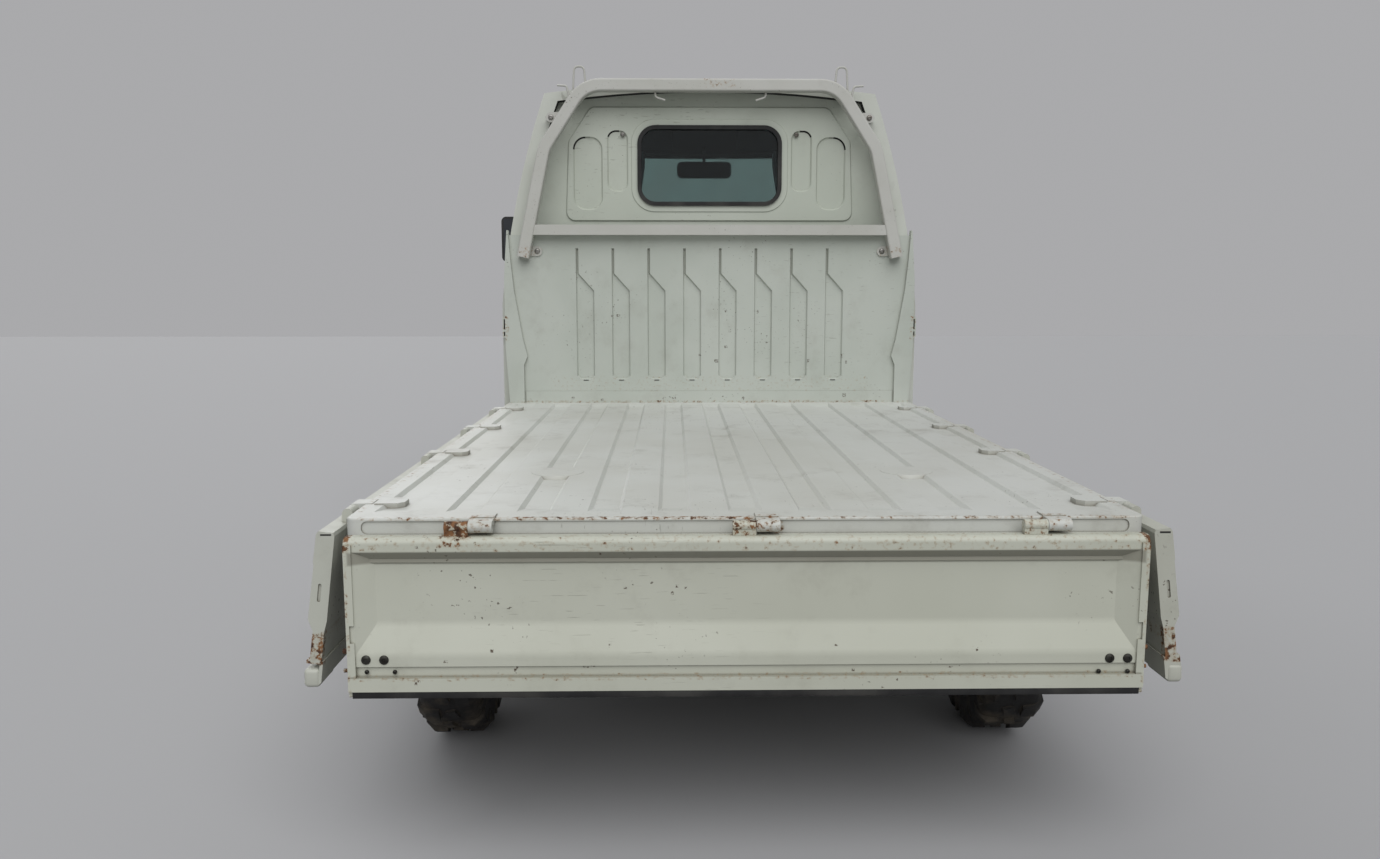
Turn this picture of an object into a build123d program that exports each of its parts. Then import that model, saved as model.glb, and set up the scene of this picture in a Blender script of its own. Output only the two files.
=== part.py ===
from build123d import *
import math
import os

# A small forward-control pickup with a flat load bed and three drop sides, all hanging open.
# Millimetres. +X is the truck's right, +Y its front, +Z up. The origin is on the ground at mid-length.

os.makedirs("parts", exist_ok=True)

# Overall sizes
OVERALL_LENGTH = 3395
HALF_LENGTH = OVERALL_LENGTH / 2
HALF_WIDTH = 737.5
SIDES = (-1, 1)
CLEAR = 5  # running gap between pieces that move past each other

# Wheels
WHEELBASE = 2190
FRONT_OVERHANG = 507.5
TRACK_HALF = 640
FRONT_AXLE_Y = HALF_LENGTH - FRONT_OVERHANG
REAR_AXLE_Y = FRONT_AXLE_Y - WHEELBASE
TYRE_R = 270  # to the tips of the lugs
LUG_DEPTH = 9
BEAD_R = 152
BEAD_HALF_WIDTH = 52
RIM_FLANGE_R = 165
RIM_WALL = 5
HUB_FACE = 36  # wheel mounting face, outboard of the wheel's middle plane
WHEEL_BOLT_PCD = 100
WHEEL_BOLT_R = 6
HUB_BORE_R = 30
HUB_NOSE = 12  # the hub's nose stands out of the rim by this
KINGPIN_X = 600
ARCH_R = 318

# Frame
RAIL_X = 385
RAIL_WIDTH = 55
RAIL_TOP = 597
RAIL_DEPTH = 95
RAIL_FRONT_TOP = 430

# Rear springs
SPRING_X = 470
LEAF_THICKNESS = 8
LEAF_CURVE_R = 730
LEAF_FRONT = 445
LEAF_REAR = 425
LEAF_LOW = TYRE_R + 34

# Load bed
FLOOR_Z = 655
FLOOR_HALF_WIDTH = 719
DECK_THICKNESS = 16
GROOVE_PITCH = 130
GROOVE_COUNT = 11
GROOVE_WIDTH = 62
GROOVE_DEPTH = 7
GROOVE_RAMP = 58  # the grooves rise to the floor over this length at both ends
SILL_Y = -1650  # rear face of the bed
SILL_HEIGHT = 95
BEAM_Y = (-1480, -930, -480, -30)  # cross beams under the deck
BED_FRONT_Y = 280  # rear face of the front wall
BED_WALL = 20
BED_WALL_TOP = 1245
POST_Y = 268  # rear face of the front wall's corner posts
GATE_THICKNESS = 38
GATE_HEIGHT = 290
TAIL_HALF_WIDTH = 710
SIDE_GATE_LEAN = 7.5  # degrees that the open side gates hang out of plumb
HINGE_DROP = 10  # hinge pins below the floor's level
HINGE_Z = FLOOR_Z - HINGE_DROP
GATE_TOP = HINGE_Z - 16
GATE_BOTTOM = GATE_TOP - GATE_HEIGHT
TAIL_PIN_Y = SILL_Y - CLEAR - GATE_THICKNESS / 2
SIDE_PIN_X = 740
BED_KNUCKLE_R = 11
GATE_KNUCKLE_R = 10
KNUCKLE = 42
PIN_R = 4
PIN_GAP = 0.3
TAIL_HINGE_X = (-494, 14, 532)
SIDE_HINGE_Y = (-1520, -890, -400, 85)

# Cab
CAB_REAR_Y = 306
CAB_WALL_Y = 345  # rear face of the cab's rear wall
CAB_WALL = 18
CAB_BOTTOM = 330
CAB_FLOOR = 440
BELT = 1000
ROOF_Z = 1768
NOSE_Y = 1680
SIDE_WALL = 46
ROOF_WALL = 26
FRONT_WALL = 40
FRAME_WALL = 34  # thickness of the doors' window frames
PILLAR_ROUND = 50
NOSE_TURN_Y = -900  # the front is turned about an upright line here, which bows it in plan
DOOR_REAR_Y = 380
DOOR_GAP = 6.4  # round the doors, so that 5 is left while they swing
WIDE = HALF_WIDTH + 20  # clear of the cab's sides


def finish(piece, label):
    """Names a finished piece and writes its file."""
    piece.part.label = label
    export_step(piece.part, f"parts/{label}.step")


def block(x, y, z, mode=Mode.ADD):
    """A rectangular block between two x, two y and two z values, in the part being built."""
    centre = tuple((low + high) / 2 for low, high in (x, y, z))
    with Locations(centre):
        Box(abs(x[1] - x[0]), abs(y[1] - y[0]), abs(z[1] - z[0]), mode=mode)


def rear_view(y):
    """The rear-view plane at y, with x to the right and z up. It is extruded towards the rear."""
    return Plane.XZ.offset(-y)


def side_view(x):
    """The side-view plane at x, with y to the right and z up. It is extruded towards +X."""
    return Plane.YZ.offset(x)


def top_view(z):
    """The plan at height z. It is extruded upwards."""
    return Plane.XY.offset(z)


def side_prism(points, x_low, x_high, radius=0):
    """A prism of a side-view outline between two x values."""
    with BuildPart() as prism:
        with BuildSketch(side_view(x_low)) as outline:
            with BuildLine():
                Polyline(*points, close=True)
            make_face()
            if radius:
                fillet(outline.vertices(), radius)
        extrude(amount=x_high - x_low)
    return prism.part


def rear_prism(points, y_front, y_rear, radius=0):
    """A prism of a rear-view outline between two y values."""
    with BuildPart() as prism:
        with BuildSketch(rear_view(y_front)) as outline:
            with BuildLine():
                Polyline(*points, close=True)
            make_face()
            if radius:
                fillet(outline.vertices(), radius)
        extrude(amount=y_front - y_rear)
    return prism.part


def rod(start, end, radius, mode=Mode.ADD):
    """A straight round rod between two points, in the part being built."""
    way = Vector(*end) - Vector(*start)
    with Locations(Plane(origin=start, z_dir=way)):
        Cylinder(radius, way.length, align=(Align.CENTER, Align.CENTER, Align.MIN), mode=mode)


def arch(radius, x_low, x_high):
    """The cylinder about a front wheel's axle line that the wheel arch is cut with."""
    with BuildPart() as cylinder:
        with BuildSketch(side_view(x_low)):
            with Locations((FRONT_AXLE_Y, TYRE_R)):
                Circle(radius)
        extrude(amount=x_high - x_low)
    return cylinder.part


# Load bed: floor

BOSS_R = 62
BOSS_Y = -1170
BOSS_GROOVE = 3  # the bosses stand in this groove, counted from the middle one
STRAP = 3  # thickness of the hinge straps that lie on the deck
STRAP_REACH = 55
GROOVE_REAR_Y = SILL_Y + 56
GROOVE_FRONT_Y = BED_FRONT_Y - 30
SILL_SHEET = 26
SILL_CORNER_R = 20
SILL_LOW = FLOOR_Z - SILL_HEIGHT
DECK_LOW = FLOOR_Z - DECK_THICKNESS
SKIRT_X = (FLOOR_HALF_WIDTH - 24, FLOOR_HALF_WIDTH - 4)
SKIRT_LOW = FLOOR_Z - 75
BEAM_HALF = 692
BEAM_WIDTH = 60
SILL_FACE = Plane(origin=(0, SILL_Y, 0), x_dir=(1, 0, 0), z_dir=(0, -1, 0))

with BuildPart() as groove:
    add(
        rear_prism(
            (
                (-GROOVE_WIDTH / 2 - 3, FLOOR_Z + 3),
                (-GROOVE_WIDTH / 2 + GROOVE_DEPTH, FLOOR_Z - GROOVE_DEPTH),
                (GROOVE_WIDTH / 2 - GROOVE_DEPTH, FLOOR_Z - GROOVE_DEPTH),
                (GROOVE_WIDTH / 2 + 3, FLOOR_Z + 3),
            ),
            GROOVE_FRONT_Y,
            GROOVE_REAR_Y,
        )
    )
    add(
        side_prism(
            (
                (GROOVE_REAR_Y, FLOOR_Z),
                (GROOVE_REAR_Y + GROOVE_RAMP, FLOOR_Z - GROOVE_DEPTH),
                (GROOVE_FRONT_Y - GROOVE_RAMP, FLOOR_Z - GROOVE_DEPTH),
                (GROOVE_FRONT_Y, FLOOR_Z),
                (GROOVE_FRONT_Y, FLOOR_Z + 3),
                (GROOVE_REAR_Y, FLOOR_Z + 3),
            ),
            -GROOVE_WIDTH,
            GROOVE_WIDTH,
        ),
        mode=Mode.INTERSECT,
    )

with BuildPart() as bed_floor:
    block(
        (-FLOOR_HALF_WIDTH, FLOOR_HALF_WIDTH),
        (SILL_Y, BED_FRONT_Y),
        (DECK_LOW, FLOOR_Z),
    )
    fillet(bed_floor.edges().filter_by(Axis.Z).group_by(Axis.Y)[0], SILL_CORNER_R)
    fillet(bed_floor.faces().sort_by(Axis.Z)[-1].edges().group_by(Axis.Y)[0], 3)
    with GridLocations(GROOVE_PITCH, 0, GROOVE_COUNT, 1):
        add(groove.part, mode=Mode.SUBTRACT)
    # Round bosses that interrupt two grooves over the frame rails
    for side in SIDES:
        with BuildSketch(top_view(FLOOR_Z - GROOVE_DEPTH - 1)):
            with Locations((side * BOSS_GROOVE * GROOVE_PITCH, BOSS_Y)):
                Circle(BOSS_R)
        extrude(amount=GROOVE_DEPTH + 2, taper=25)
    # Side skirts, rear sill and cross beams under the deck
    for side in SIDES:
        skirt = (side * SKIRT_X[0], side * SKIRT_X[1])
        block(skirt, (SILL_Y + SILL_CORNER_R, BED_FRONT_Y), (SKIRT_LOW, DECK_LOW))
    sill_corner_x = FLOOR_HALF_WIDTH - SILL_CORNER_R
    sill_corner_y = SILL_Y + SILL_CORNER_R
    block((-sill_corner_x, sill_corner_x), (SILL_Y, SILL_Y + SILL_SHEET), (SILL_LOW, DECK_LOW))
    block(
        (-FLOOR_HALF_WIDTH, FLOOR_HALF_WIDTH),
        (sill_corner_y, SILL_Y + SILL_SHEET),
        (SILL_LOW, DECK_LOW),
    )
    for side in SIDES:
        corner_x = side * sill_corner_x
        rod((corner_x, sill_corner_y, SILL_LOW), (corner_x, sill_corner_y, DECK_LOW), SILL_CORNER_R)
    for beam_y in BEAM_Y:
        beam = (beam_y - BEAM_WIDTH / 2, beam_y + BEAM_WIDTH / 2)
        block((-BEAM_HALF, BEAM_HALF), beam, (RAIL_TOP, DECK_LOW))
    # The long pressed field in the sill's rear face, with round ends
    with BuildSketch(SILL_FACE):
        with Locations((0, FLOOR_Z - 17)):
            RectangleRounded(2 * FLOOR_HALF_WIDTH - 58, 24, 11)
    extrude(amount=-3, mode=Mode.SUBTRACT)
    # Hinge knuckles, each on a strap that lies on the deck
    for hinge_x in TAIL_HINGE_X:
        near = hinge_x + PIN_GAP
        far = hinge_x + KNUCKLE
        block((near, far), (SILL_Y - 2, SILL_Y + 32), (FLOOR_Z - 6, FLOOR_Z + STRAP))
        block((near, far), (TAIL_PIN_Y, SILL_Y + 4), (HINGE_Z, HINGE_Z + BED_KNUCKLE_R))
        rod((near, TAIL_PIN_Y, HINGE_Z), (far, TAIL_PIN_Y, HINGE_Z), BED_KNUCKLE_R)
        rod((near, TAIL_PIN_Y, HINGE_Z), (far, TAIL_PIN_Y, HINGE_Z), PIN_R + PIN_GAP, Mode.SUBTRACT)
    for side in SIDES:
        pin_x = side * SIDE_PIN_X
        for hinge_y in SIDE_HINGE_Y:
            near = hinge_y + PIN_GAP
            far = hinge_y + KNUCKLE
            edge = side * sill_corner_x
            inner = edge - side * STRAP_REACH
            with BuildSketch(top_view(FLOOR_Z - GROOVE_DEPTH - 1)):
                with BuildLine():
                    Polyline(
                        (edge, near - 8),
                        (inner + side * 12, near - 8),
                        (inner, near + 6),
                        (inner, far - 6),
                        (inner + side * 12, far + 8),
                        (edge, far + 8),
                        close=True,
                    )
                make_face()
            extrude(amount=GROOVE_DEPTH + 1 + STRAP)
            block((side * (FLOOR_HALF_WIDTH - 14), pin_x), (near, far), (HINGE_Z, HINGE_Z + BED_KNUCKLE_R))
            rod((pin_x, near, HINGE_Z), (pin_x, far, HINGE_Z), BED_KNUCKLE_R)
            rod((pin_x, near, HINGE_Z), (pin_x, far, HINGE_Z), PIN_R + PIN_GAP, Mode.SUBTRACT)
finish(bed_floor, "bed_floor")

# Load bed: front wall with pressed ribs and two corner posts

RIB_PITCH = 126
RIB_COUNT = 8
RIB_HALF_WIDTH = 32
RIB_DEPTH = 9
RIB_LOW = 738
RIB_TURN = (1052, 1112)  # the ribs narrow to a slit between these heights
RIB_HIGH = 1200
RIB_SLIT = 10
WALL_HALF_WIDTH = 712
WALL_FACE = Plane(origin=(0, BED_FRONT_Y, 0), x_dir=(1, 0, 0), z_dir=(0, -1, 0))
POST_OUTLINE = (
    (WALL_HALF_WIDTH, FLOOR_Z),
    (660, FLOOR_Z),
    (660, 790),
    (647, 822),
    (662, 880),
    (690, 1050),
    (700, 1150),
    (708, 1262),
    (WALL_HALF_WIDTH, 1262),
    (WALL_HALF_WIDTH + 12, 1090),
    (WALL_HALF_WIDTH + 12, 860),
)
KEEPER_Z = (888, 958)

with BuildPart() as bed_front_wall:
    block(
        (-WALL_HALF_WIDTH, WALL_HALF_WIDTH),
        (BED_FRONT_Y, BED_FRONT_Y + BED_WALL),
        (FLOOR_Z - 55, BED_WALL_TOP),
    )
    with BuildSketch(WALL_FACE):
        with GridLocations(RIB_PITCH, 0, RIB_COUNT, 1):
            Polygon(
                (-RIB_HALF_WIDTH, RIB_LOW + 12),
                (-RIB_HALF_WIDTH, RIB_HIGH),
                (RIB_SLIT - RIB_HALF_WIDTH, RIB_HIGH),
                (RIB_SLIT - RIB_HALF_WIDTH, RIB_TURN[1]),
                (RIB_HALF_WIDTH, RIB_TURN[0]),
                (RIB_HALF_WIDTH, RIB_LOW + 12),
                (RIB_HALF_WIDTH - 14, RIB_LOW),
                (14 - RIB_HALF_WIDTH, RIB_LOW),
                align=None,
            )
    extrude(amount=-RIB_DEPTH, taper=24, mode=Mode.SUBTRACT)
    # The floor's upturned flange lies against the foot of the wall
    block((-655, 655), (BED_FRONT_Y - 3, BED_FRONT_Y), (FLOOR_Z, FLOOR_Z + 41))
    for side in SIDES:
        add(
            rear_prism(
                [(side * x, z) for x, z in POST_OUTLINE], BED_FRONT_Y + BED_WALL, POST_Y
            )
        )
        # Latch keeper on the outer face of each post, a box that is open to the rear
        keeper = (side * WALL_HALF_WIDTH, side * (WALL_HALF_WIDTH + 21))
        block(keeper, (POST_Y + 2, POST_Y + 24), KEEPER_Z)
        for low, high in ((KEEPER_Z[1] - 42, KEEPER_Z[1] - 6), (KEEPER_Z[0] + 5, KEEPER_Z[0] + 20)):
            slot = (side * (WALL_HALF_WIDTH + 4), side * (WALL_HALF_WIDTH + 17))
            block(slot, (POST_Y + 1, POST_Y + 20), (low, high), Mode.SUBTRACT)
finish(bed_front_wall, "bed_front_wall")

# Load bed: guard frame over the front wall

GUARD_TUBE = 42
GUARD_WALL = 3
GUARD_Y = BED_FRONT_Y - 1 - GUARD_TUBE / 2
GUARD_FOOT = (653, 1168)
GUARD_BEND = (574, 1538)
GUARD_SHOULDER = (436, 1750)
GUARD_SHOULDER_R = 110
CROSS_BAR_Z = 1262
CROSS_BAR_TUBE = 35
CROSS_BAR_HALF = 632
HOOK_ROD_R = 3.6
EAR_R = 17
EAR_REACH = 41
UPPER_EAR = (550, 1645)
STAND_OFF_X = 563  # the stand-offs reach from the upper ears to the rim of the cab
STAND_OFF_R = 6
EAR_SHEET = 6
EAR_Y = (GUARD_Y + 8, GUARD_Y + 8 + EAR_SHEET)
LOWER_EAR = (606, 1190)
LOOP_PATH = ((474, 1705), (467, 1812), (434, 1812), (428, 1745))  # x, z of a rope loop
SIDE_HOOK_PATH = ((484, 1705), (494, 1748), (526, 1750))
HANGER_PATH = ((190, 1740), (190, 1712), (156, 1701))


def bent_rod(points, radius, corner):
    """A rod along a rear-view path of x and z values in the guard frame's middle plane."""
    with BuildPart() as bent:
        with BuildLine() as path:
            FilletPolyline(*[(x, GUARD_Y, z) for x, z in points], radius=corner)
        with BuildSketch(Plane(origin=path.line @ 0, z_dir=path.line % 0)):
            Circle(radius)
        sweep()
    return bent.part


with BuildPart() as guard_frame:
    with BuildLine() as guard_path:
        FilletPolyline(
            (-GUARD_FOOT[0], GUARD_Y, GUARD_FOOT[1]),
            (-GUARD_BEND[0], GUARD_Y, GUARD_BEND[1]),
            (-GUARD_SHOULDER[0], GUARD_Y, GUARD_SHOULDER[1]),
            (GUARD_SHOULDER[0], GUARD_Y, GUARD_SHOULDER[1]),
            (GUARD_BEND[0], GUARD_Y, GUARD_BEND[1]),
            (GUARD_FOOT[0], GUARD_Y, GUARD_FOOT[1]),
            radius=GUARD_SHOULDER_R,
        )
    foot_slope = (GUARD_FOOT[0] - GUARD_BEND[0], 0, GUARD_BEND[1] - GUARD_FOOT[1])
    with BuildSketch(
        Plane(
            origin=(-GUARD_FOOT[0], GUARD_Y, GUARD_FOOT[1]),
            x_dir=(0, 1, 0),
            z_dir=foot_slope,
        )
    ):
        RectangleRounded(GUARD_TUBE, GUARD_TUBE, 6)
    sweep()
    # The tubes' open lower ends
    for side in SIDES:
        with BuildSketch(
            Plane(
                origin=(side * GUARD_FOOT[0], GUARD_Y, GUARD_FOOT[1]),
                x_dir=(0, 1, 0),
                z_dir=(-side * foot_slope[0], 0, foot_slope[2]),
            )
        ):
            RectangleRounded(GUARD_TUBE - 2 * GUARD_WALL, GUARD_TUBE - 2 * GUARD_WALL, 4)
        extrude(amount=60, mode=Mode.SUBTRACT)
    block(
        (-CROSS_BAR_HALF, CROSS_BAR_HALF),
        (GUARD_Y - CROSS_BAR_TUBE / 2, GUARD_Y + CROSS_BAR_TUBE / 2),
        (CROSS_BAR_Z - CROSS_BAR_TUBE / 2, CROSS_BAR_Z + CROSS_BAR_TUBE / 2),
    )
    for side in SIDES:
        # Ears: the lower one lies on the bed's wall, the upper one reaches the cab's edge
        lower = (side * LOWER_EAR[0], side * (LOWER_EAR[0] + EAR_REACH))
        block(
            lower,
            (BED_FRONT_Y - EAR_SHEET, BED_FRONT_Y),
            (LOWER_EAR[1] - EAR_R, LOWER_EAR[1] + EAR_R),
        )
        rod(
            (side * LOWER_EAR[0], BED_FRONT_Y - EAR_SHEET, LOWER_EAR[1]),
            (side * LOWER_EAR[0], BED_FRONT_Y, LOWER_EAR[1]),
            EAR_R,
        )
        upper = (side * (UPPER_EAR[0] - EAR_REACH), side * UPPER_EAR[0])
        block(upper, EAR_Y, (UPPER_EAR[1] - EAR_R, UPPER_EAR[1] + EAR_R))
        rod(
            (side * UPPER_EAR[0], EAR_Y[0], UPPER_EAR[1]),
            (side * UPPER_EAR[0], EAR_Y[1], UPPER_EAR[1]),
            EAR_R,
        )
        rod(
            (side * STAND_OFF_X, EAR_Y[0] + 2, UPPER_EAR[1]),
            (side * STAND_OFF_X, CAB_REAR_Y, UPPER_EAR[1]),
            STAND_OFF_R,
        )
        for path, corner in ((LOOP_PATH, 14), (SIDE_HOOK_PATH, 9), (HANGER_PATH, 12)):
            add(bent_rod([(side * x, z) for x, z in path], HOOK_ROD_R, corner))
finish(guard_frame, "guard_frame")

# Tail gate, hanging below its hinges

TAIL_INNER_Y = TAIL_PIN_Y - GATE_THICKNESS / 2  # the face that looks rearward when open
TAIL_OUTER_Y = TAIL_PIN_Y + GATE_THICKNESS / 2

PANEL_DEPTH = 16
PANEL_HALF_WIDTH = 696
PANEL_BEVEL = 36
BEAD_LOW = GATE_TOP - 25
PANEL_HIGH = GATE_TOP - 50
PANEL_LOW = GATE_TOP - 158
BULGE_LOW = GATE_TOP - 212
SEAM_Z = GATE_TOP - 233
RAIL_LOW = GATE_BOTTOM + 12
RAIL_HIGH = GATE_BOTTOM + 37
END_PLATE = 14
NOTCH_Z = (440, 472)
BEAD_HALF_LENGTH = 640
BEAD_HALF_HEIGHT = 18
LATCH_PINS = ((419, 4.7), (383, 3.5))  # height, radius
LATCH_REACH = 13

with BuildPart() as panel_recess:
    with BuildSketch(side_view(-TAIL_HALF_WIDTH)):
        with BuildLine():
            ramp = FilletPolyline(
                (TAIL_INNER_Y + PANEL_DEPTH, PANEL_HIGH),
                (TAIL_INNER_Y + PANEL_DEPTH, PANEL_LOW),
                (TAIL_INNER_Y, BULGE_LOW),
                (TAIL_INNER_Y, BULGE_LOW - 20),
                radius=40,
            )
            Polyline(
                ramp @ 1,
                (TAIL_INNER_Y - 9, BULGE_LOW - 20),
                (TAIL_INNER_Y - 9, BEAD_LOW),
                (TAIL_INNER_Y, BEAD_LOW),
                (TAIL_INNER_Y + PANEL_DEPTH - 3, BEAD_LOW - 15),
                (TAIL_INNER_Y + PANEL_DEPTH - 4, BEAD_LOW - 21),
                ramp @ 0,
            )
        make_face()
    extrude(amount=2 * TAIL_HALF_WIDTH)
    with BuildSketch(top_view(GATE_BOTTOM)):
        with BuildLine():
            Polyline(
                (-PANEL_HALF_WIDTH, TAIL_INNER_Y - 9),
                (-PANEL_HALF_WIDTH, TAIL_INNER_Y),
                (-PANEL_HALF_WIDTH + PANEL_BEVEL, TAIL_INNER_Y + PANEL_DEPTH),
                (PANEL_HALF_WIDTH - PANEL_BEVEL, TAIL_INNER_Y + PANEL_DEPTH),
                (PANEL_HALF_WIDTH, TAIL_INNER_Y),
                (PANEL_HALF_WIDTH, TAIL_INNER_Y - 9),
                close=True,
            )
        make_face()
    extrude(amount=GATE_HEIGHT, mode=Mode.INTERSECT)

with BuildPart() as tailgate:
    block(
        (-TAIL_HALF_WIDTH, TAIL_HALF_WIDTH),
        (TAIL_INNER_Y, TAIL_OUTER_Y),
        (GATE_BOTTOM, GATE_TOP),
    )
    fillet(tailgate.edges().filter_by(Axis.X).group_by(Axis.Z)[-1], 11)
    fillet(tailgate.edges().filter_by(Axis.X).group_by(Axis.Z)[0], 4)
    add(panel_recess.part, mode=Mode.SUBTRACT)
    # The strip between the seam and the rail lies a little deeper
    strip = (-PANEL_HALF_WIDTH, PANEL_HALF_WIDTH)
    block(strip, (TAIL_INNER_Y - 5, TAIL_INNER_Y + 4), (RAIL_HIGH - 2, SEAM_Z), Mode.SUBTRACT)
    block(
        (-TAIL_HALF_WIDTH, TAIL_HALF_WIDTH),
        (-HALF_LENGTH, TAIL_OUTER_Y),
        (RAIL_LOW, RAIL_HIGH),
    )
    # End plates, with a notch beside the bulge
    for side in SIDES:
        plate = (side * (TAIL_HALF_WIDTH - END_PLATE), side * TAIL_HALF_WIDTH)
        block(plate, (-HALF_LENGTH + 1, TAIL_INNER_Y + 9), (RAIL_HIGH, GATE_TOP - 12))
        notch = (side * (TAIL_HALF_WIDTH - END_PLATE - 3), side * (TAIL_HALF_WIDTH - 6))
        block(notch, (-HALF_LENGTH, TAIL_INNER_Y), NOTCH_Z, Mode.SUBTRACT)
    # Long beads pressed into the outer face, which looks forward while the gate hangs
    for bead_z in (GATE_TOP - 90, GATE_TOP - 190):
        bead = (bead_z - BEAD_HALF_HEIGHT, bead_z + BEAD_HALF_HEIGHT)
        length = (-BEAD_HALF_LENGTH, BEAD_HALF_LENGTH)
        block(length, (TAIL_OUTER_Y - 4, TAIL_OUTER_Y + 4), bead, Mode.SUBTRACT)
    for hinge_x in TAIL_HINGE_X:
        near = hinge_x - PIN_GAP
        far = hinge_x - KNUCKLE
        block((far, near), (TAIL_PIN_Y - 8, TAIL_PIN_Y + 8), (GATE_TOP - 4, HINGE_Z))
        rod((far, TAIL_PIN_Y, HINGE_Z), (near, TAIL_PIN_Y, HINGE_Z), GATE_KNUCKLE_R)
        rod((near - 5, TAIL_PIN_Y, HINGE_Z), (hinge_x + KNUCKLE - 3, TAIL_PIN_Y, HINGE_Z), PIN_R)
    # Latch pins at the ends
    for side in SIDES:
        for pin_z, pin_r in LATCH_PINS:
            rod(
                (side * (TAIL_HALF_WIDTH - 5), TAIL_PIN_Y, pin_z),
                (side * (TAIL_HALF_WIDTH + LATCH_REACH), TAIL_PIN_Y, pin_z),
                pin_r,
            )
finish(tailgate, "tailgate")

# Side gates, hanging outside the bed

SIDE_GATE_REAR_Y = SILL_Y + CLEAR
SIDE_GATE_FRONT_Y = POST_Y - 6
SIDE_GATE_OUTLINE = (  # outward from the pin and down from it, before the gate leans
    (-1, 17),
    (25, 17),
    (29, 23),
    (30, 76),
    (28.5, 79),
    (30, 182),
    (20, 202),
    (20, 258),
    (26, 258),
    (26, 264),
    (2, 264),
    (2, 296),
    (26, 296),
    (26, 302),
    (0, 302),
    (-4, 298),
    (-4, 258),
    (-1, 258),
    (-1, 202),
    (-4, 182),
    (-4, 23),
)
RAIL_CAP_OUTLINE = ((-4, 258), (26, 258), (26, 302), (-4, 302))
SLOT_PLACE = (14, 130)


def leaning(side, points):
    """Points given outward from a side gate's pin and down from it, as x and z of the open gate."""
    lean = math.radians(SIDE_GATE_LEAN)
    return [
        (
            side * (SIDE_PIN_X + out * math.cos(lean) + down * math.sin(lean)),
            HINGE_Z - down * math.cos(lean) + out * math.sin(lean),
        )
        for out, down in points
    ]


for side, side_name in zip(SIDES, ("left", "right")):
    with BuildPart() as side_gate:
        add(rear_prism(leaning(side, SIDE_GATE_OUTLINE), SIDE_GATE_FRONT_Y, SIDE_GATE_REAR_Y))
        # The left gate has lost the cap that closes the rear end of its rail
        if side > 0:
            cap = leaning(side, RAIL_CAP_OUTLINE)
            add(rear_prism(cap, SIDE_GATE_REAR_Y + 8, SIDE_GATE_REAR_Y, 6))
        # A narrow slot pressed into the rear end
        with BuildSketch(rear_view(SIDE_GATE_REAR_Y + 3)):
            with Locations(leaning(side, (SLOT_PLACE,))[0]):
                SlotOverall(34, 6, rotation=90 + side * SIDE_GATE_LEAN)
        extrude(amount=10, mode=Mode.SUBTRACT)
        pin_x = side * SIDE_PIN_X
        for hinge_y in SIDE_HINGE_Y:
            near = hinge_y - PIN_GAP
            far = hinge_y - KNUCKLE
            block((pin_x + side * 2, pin_x + side * 10), (far, near), (HINGE_Z - 20, HINGE_Z))
            rod((pin_x, far, HINGE_Z), (pin_x, near, HINGE_Z), GATE_KNUCKLE_R)
            rod((pin_x, near - 5, HINGE_Z), (pin_x, hinge_y + KNUCKLE - 3, HINGE_Z), PIN_R)
    finish(side_gate, f"side_gate_{side_name}")

# Cab: the outer form, from a rear-view section and a side-view outline turned in plan

SECTION_WAIST = (672, 1400)
SECTION_SHOULDER = (576, 1732)
SHOULDER_ROUND = 60
NOSE_ROUND = 60
NOSE_FOOT = 150  # the turned outline starts here, below every use of it


def cab_volume(side, roof, front, rear_y, low, corner):
    """The cab's form with its sides, roof and front moved in by the given amounts."""
    reach = -NOSE_TURN_Y - front
    with BuildPart() as volume:
        with BuildSketch(rear_view(HALF_LENGTH + 40)):
            with BuildLine():
                right = ThreePointArc(
                    (HALF_WIDTH - side, BELT),
                    (SECTION_WAIST[0] - side, SECTION_WAIST[1]),
                    (SECTION_SHOULDER[0] - side, SECTION_SHOULDER[1] - roof),
                )
                left = ThreePointArc(
                    (-HALF_WIDTH + side, BELT),
                    (-SECTION_WAIST[0] + side, SECTION_WAIST[1]),
                    (-SECTION_SHOULDER[0] + side, SECTION_SHOULDER[1] - roof),
                )
                ThreePointArc(right @ 1, (0, ROOF_Z - roof), left @ 1)
                Polyline(
                    left @ 0, (-HALF_WIDTH + side, low), (HALF_WIDTH - side, low), right @ 0
                )
            make_face()
            fillet([v for v in vertices() if v.Z > SECTION_SHOULDER[1] - 100], SHOULDER_ROUND)
        extrude(amount=HALF_LENGTH + 40 - rear_y)
        turn_plane = Plane(origin=(0, NOSE_TURN_Y, 0), x_dir=(0, -1, 0), z_dir=(-1, 0, 0))
        with BuildSketch(turn_plane):
            with BuildLine():
                nose = FilletPolyline(
                    (0, NOSE_FOOT),
                    (NOSE_Y + reach, NOSE_FOOT),
                    (NOSE_Y + reach, 480),
                    (1668 + reach, 760),
                    (1606 + reach, 935),
                    (1480 + reach, 1030),
                    (1010 + reach, ROOF_Z - roof + 12),
                    (0, ROOF_Z - roof + 12),
                    radius=NOSE_ROUND,
                )
                Line(nose @ 1, nose @ 0)
            make_face()
        revolve(axis=Axis((0, NOSE_TURN_Y, 0), (0, 0, 1)), mode=Mode.INTERSECT)
        pillars = [
            edge
            for edge in volume.edges()
            if abs(edge.center().X) > 350
            and edge.center().Y > 1000
            and edge.bounding_box().size.Z > 8
        ]
        fillet(pillars, corner)
    return volume.part


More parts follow.
